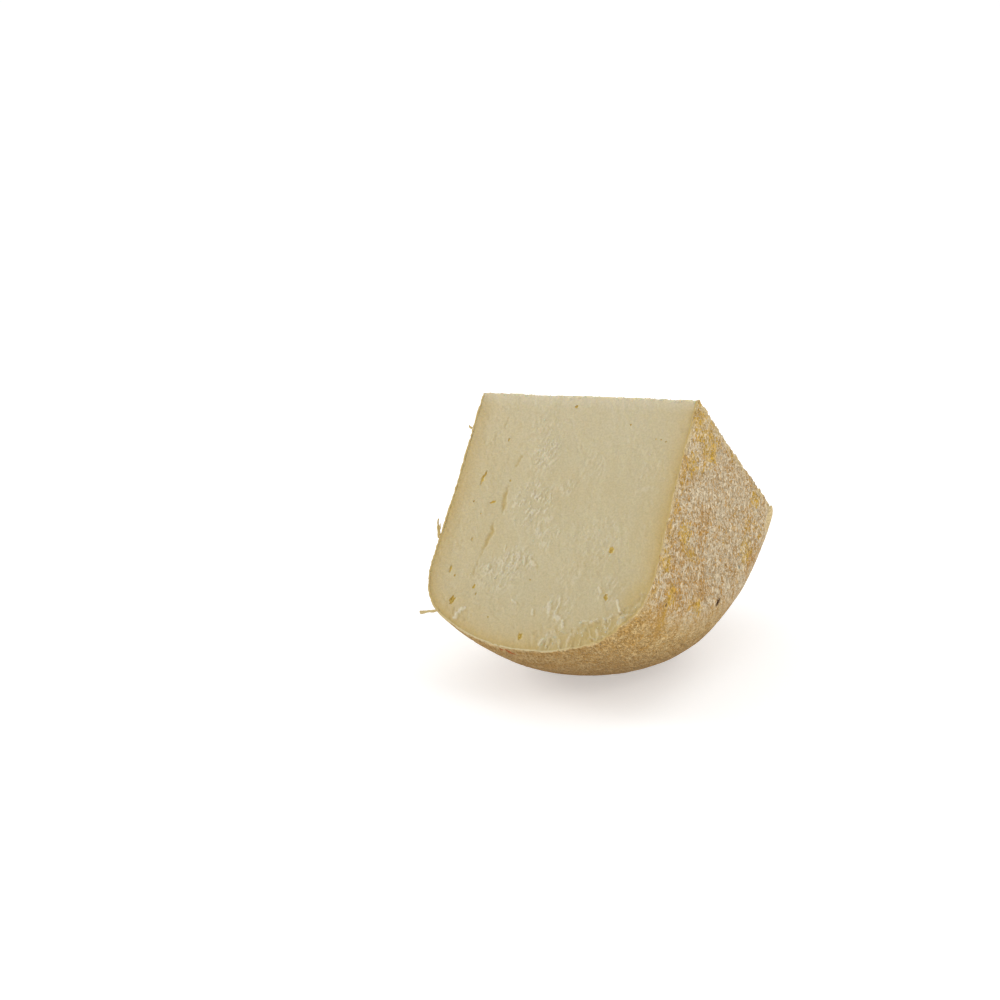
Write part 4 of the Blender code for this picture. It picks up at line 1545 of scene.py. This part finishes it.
def crumb_tree():
    """The geometry tree that scatters crumbs where the paste is marked as crumbly."""
    tree, start, end = new_group(
        "Paste crumbs",
        "GeometryNodeTree",
        {"Geometry": GEOMETRY, "Crumbs": 1.0, "Size": 0.0003, "Seed": 1, "Material": MATERIAL},
        {"Geometry": GEOMETRY},
    )
    density = sums(tree, "MULTIPLY", stored(tree, "crumbly"), start.outputs["Crumbs"])
    points = node(
        tree,
        "GeometryNodeDistributePointsOnFaces",
        {"Mesh": start.outputs["Geometry"], "Density": density, "Seed": start.outputs["Seed"]},
    )
    ball = node(tree, "GeometryNodeMeshIcoSphere", {"Radius": start.outputs["Size"], "Subdivisions": 1})
    spin, size = (
        node(tree, "FunctionNodeRandomValue", {0: least, 1: most}, data_type="FLOAT_VECTOR")
        for least, most in (CRUMB_TURNS, CRUMB_STRETCH)
    )
    crumbs = node(
        tree,
        "GeometryNodeInstanceOnPoints",
        {
            "Points": points.outputs["Points"],
            "Instance": ball.outputs["Mesh"],
            "Rotation": spin.outputs[0],
            "Scale": size.outputs[0],
        },
    )
    real = node(tree, "GeometryNodeRealizeInstances", {"Geometry": crumbs.outputs[0]})
    place = tree.nodes.new("GeometryNodeInputPosition").outputs[0]
    swing = node(tree, "ShaderNodeTexNoise", {"Vector": place, "Scale": 2600.0, "Detail": 1.0})
    centred = vectors(tree, "SUBTRACT", {0: swing.outputs["Color"], 1: (0.5, 0.5, 0.5)}).outputs[0]
    offset = vectors(tree, "SCALE", {0: centred, 3: CRUMB_DENT}).outputs[0]
    moved = node(tree, "GeometryNodeSetPosition", {"Geometry": real.outputs[0], "Offset": offset})
    dressed = node(
        tree, "GeometryNodeSetMaterial", {"Geometry": moved.outputs[0], "Material": start.outputs["Material"]}
    )
    tree.links.new(dressed.outputs[0], end.inputs["Geometry"])
    return tree


def crumb_material(look):
    """Pale dry crumbs."""
    made = Shading("paste_crumb", look.smear)
    tint = rise(made.tree, cloud(made.tree, made.place, 700.0, 1.0), 0.35, 0.65)
    made.link(blend_colour(made.tree, tint, look.crumb, look.smear), "Base Color")
    made.set(Roughness=0.6, Subsurface_Weight=look.softness, Subsurface_Scale=0.002)
    made.bump(cloud(made.tree, made.place, 2600.0, 2.0), 0.00008)
    return made.material


def set_inputs(modifier, values):
    """Sets a geometry tree's inputs by their sockets' identifiers."""
    sockets = {item.name: item.identifier for item in modifier.node_group.interface.items_tree}
    for name, value in values.items():
        modifier[sockets[name]] = value


def shader_groups():
    """The shader groups, made once and shared by every material."""
    made = bpy.data.node_groups
    return {
        "pits": made.get("Bloom pits") or pits_group(),
        "mottle": made.get("Mottle") or mottle_group(),
        "spot": made.get("Spot") or spot_group(),
    }


class PECORINO_OT_paste(bpy.types.Operator):
    """Builds the cut paste with its knife marks, torn band and eyes"""

    bl_idname = "pecorino.paste"
    bl_label = "Paste"
    bl_options = {"REGISTER", "UNDO"}

    def execute(self, context):
        form = WedgeForm(context.scene)
        paste = turned_body("pecorino_paste", form, HIDDEN_SPACING, PASTE_INSET, PASTE_LIFT)
        cut(paste, knife_block("knife_cuts", form), "INTERSECT")
        cut(paste, eye_cutter(form), "DIFFERENCE")
        drop_scraps(paste)
        mark_paste(paste, form)
        paste.data.materials.clear()
        paste.data.materials.append(paste_material(context.scene.pecorino_paste, shader_groups()["mottle"]))
        smooth(paste, 60)
        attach(paste, BODY)
        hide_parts(NODE)
        return {"FINISHED"}


class PECORINO_OT_rind(bpy.types.Operator):
    """Builds the thin bloomed rind with its pits and ragged cut edge"""

    bl_idname = "pecorino.rind"
    bl_label = "Rind"
    bl_options = {"REGISTER", "UNDO"}

    def execute(self, context):
        form = WedgeForm(context.scene)
        look = context.scene.pecorino_rind
        rind = turned_body("pecorino_rind", form, look.spacing)
        mark_rind(rind, form)
        pitted_skin(rind, look)
        for vert in rind.data.vertices:
            vert.co.z = max(vert.co.z, 0.0)
        hollow = turned_body("hollow", form, HIDDEN_SPACING, look.thickness, HOLLOW_LIFT)
        cut(rind, hollow, "DIFFERENCE")
        cut(rind, slit_cutter(form), "DIFFERENCE")
        cut(rind, knife_block("rind_cuts", form, form.rind_lip), "INTERSECT")
        drop_scraps(rind)
        mark_rind(rind, form)
        groups = shader_groups()
        rind.data.materials.clear()
        rind.data.materials.append(rind_material(look, form, groups))
        rind.data.materials.append(edge_material(look, groups["mottle"]))
        mark_cut_edge(rind, form)
        smooth(rind, 60)
        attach(rind, BODY)
        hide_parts(NODE)
        return {"FINISHED"}


class PECORINO_OT_strands(bpy.types.Operator):
    """Builds the loose strands of rind that hang from the cut's rim"""

    bl_idname = "pecorino.strands"
    bl_label = "Rind strands"
    bl_options = {"REGISTER", "UNDO"}

    def execute(self, context):
        form = WedgeForm(context.scene)
        edge = bpy.data.materials["pecorino_rind_edge"]
        for number, (route, tip) in enumerate(zip(STRANDS, STRAND_TIPS)):
            made = strand(f"rind_strand_{number + 1}", form, route, tip)
            made.data.materials.append(edge)
            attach(made, BODY)
        return {"FINISHED"}


class PECORINO_OT_crumbs(bpy.types.Operator):
    """Scatters crumbs of paste over the torn band and the smears"""

    bl_idname = "pecorino.crumbs"
    bl_label = "Crumbs"
    bl_options = {"REGISTER", "UNDO"}

    def execute(self, context):
        look = context.scene.pecorino_paste
        crumbs = new_object("paste_crumbs", bpy.data.objects["pecorino_paste"].data.copy())
        step = crumbs.modifiers.new("crumbs", "NODES")
        step.node_group = crumb_tree()
        values = {"Crumbs": look.crumbs, "Size": look.crumb_size, "Seed": RANDOM_SEED}
        set_inputs(step, {**values, "Material": crumb_material(look)})
        bake(crumbs)
        smooth(crumbs, 60)
        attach(crumbs, BODY)
        return {"FINISHED"}


class PECORINO_OT_stage(bpy.types.Operator):
    """Builds the plain pale floor, the soft light and the camera"""

    bl_idname = "pecorino.stage"
    bl_label = "Stage"
    bl_options = {"REGISTER", "UNDO"}

    def execute(self, context):
        look = context.scene.pecorino_stage
        stage_floor(look)
        sky(context.scene, look)
        soft_light("key_light", look.key, look.key_place, look.lamp_width)
        soft_light("fill_light", look.fill, look.fill_place, look.lamp_width)
        soft_light("back_light", look.back, look.back_place, look.lamp_width)
        context.scene.camera = stage_camera(look)
        context.scene.view_settings.view_transform = "Standard"
        return {"FINISHED"}


def stage_floor(look):
    """A wide plain floor that glows a little, as a light table does."""
    built = bmesh.new()
    bmesh.ops.create_grid(built, x_segments=2, y_segments=2, size=look.floor_width / 2)
    floor = finished("floor", built)
    made = Shading("floor", look.floor)
    made.set(Base_Color=(*look.floor, 1.0), Roughness=0.9, Specular_IOR_Level=0.1)
    made.set(Emission_Color=(1.0, 1.0, 1.0, 1.0), Emission_Strength=look.glow)
    floor.data.materials.append(made.material)
    return floor


def sky(scene, look):
    """White light from all round."""
    world = bpy.data.worlds.new("white_room")
    world.use_nodes = True
    background = world.node_tree.nodes["Background"]
    background.inputs["Color"].default_value = (1.0, 1.0, 1.0, 1.0)
    background.inputs["Strength"].default_value = look.sky
    scene.world = world


def facing(place, back):
    """Stands a light or a camera at a place, with its back turned the given way."""
    return Matrix.Translation(place) @ back.to_track_quat("Z", "Y").to_matrix().to_4x4()


def soft_light(name, power, place, width):
    """A large soft light, turned to the wedge."""
    lamp = bpy.data.lights.new(name, "AREA")
    lamp.shape = "SQUARE"
    lamp.size = width
    lamp.energy = power
    light = new_object(name, lamp)
    light.matrix_world = facing(Vector(place), Vector(place) - (LOW + HIGH) / 2)


def stage_camera(look):
    """The camera at the photograph's viewing angle."""
    lens = bpy.data.cameras.new("camera")
    lens.sensor_width = 36.0
    lens.lens = look.lens
    lens.clip_end = 100.0
    camera = new_object("camera", lens)
    flat, upward = math.cos(look.elevation), math.sin(look.elevation)
    back = Vector((flat * math.sin(look.azimuth), -flat * math.cos(look.azimuth), upward))
    foot = Vector(((LOW.x + HIGH.x) / 2, (LOW.y + HIGH.y) / 2, LOW.z))
    camera.matrix_world = facing(foot + Vector(look.aim) + back * look.distance, back)
    return camera


class PECORINO_PT_wedge(bpy.types.Panel):
    """Lists the steps and the settings in the 3D view's sidebar"""

    bl_idname = "PECORINO_PT_wedge"
    bl_label = "Pecorino Wedge"
    bl_space_type = "VIEW_3D"
    bl_region_type = "UI"
    bl_category = "Pecorino"

    def draw(self, context):
        layout = self.layout
        for operator in OPERATORS:
            layout.operator(operator.bl_idname)
        for title, name, _group in SETTINGS:
            box = layout.box()
            box.label(text=title)
            group = getattr(context.scene, name)
            for setting in group.__annotations__:
                box.prop(group, setting)


OPERATORS = (
    PECORINO_OT_paste,
    PECORINO_OT_rind,
    PECORINO_OT_strands,
    PECORINO_OT_crumbs,
    PECORINO_OT_stage,
)
SETTINGS = (
    ("Wedge", "pecorino_wedge", WedgeSizes),
    ("Cuts", "pecorino_cut", CutSizes),
    ("Paste", "pecorino_paste", PasteLook),
    ("Rind", "pecorino_rind", RindLook),
    ("Stage", "pecorino_stage", StageLook),
)


def register():
    """Adds the settings, the operators and the panel to Blender."""
    for _title, name, group in SETTINGS:
        bpy.utils.register_class(group)
        setattr(bpy.types.Scene, name, PointerProperty(type=group))
    for operator in OPERATORS:
        bpy.utils.register_class(operator)
    bpy.utils.register_class(PECORINO_PT_wedge)


def unregister():
    """Takes away all that register added."""
    bpy.utils.unregister_class(PECORINO_PT_wedge)
    for operator in reversed(OPERATORS):
        bpy.utils.unregister_class(operator)
    for _title, name, group in SETTINGS:
        delattr(bpy.types.Scene, name)
        bpy.utils.unregister_class(group)


def main():
    """Builds every piece in order."""
    register()
    bpy.ops.pecorino.paste()
    bpy.ops.pecorino.rind()
    bpy.ops.pecorino.strands()
    bpy.ops.pecorino.crumbs()
    bpy.ops.pecorino.stage()


if __name__ == "__main__":
    main()
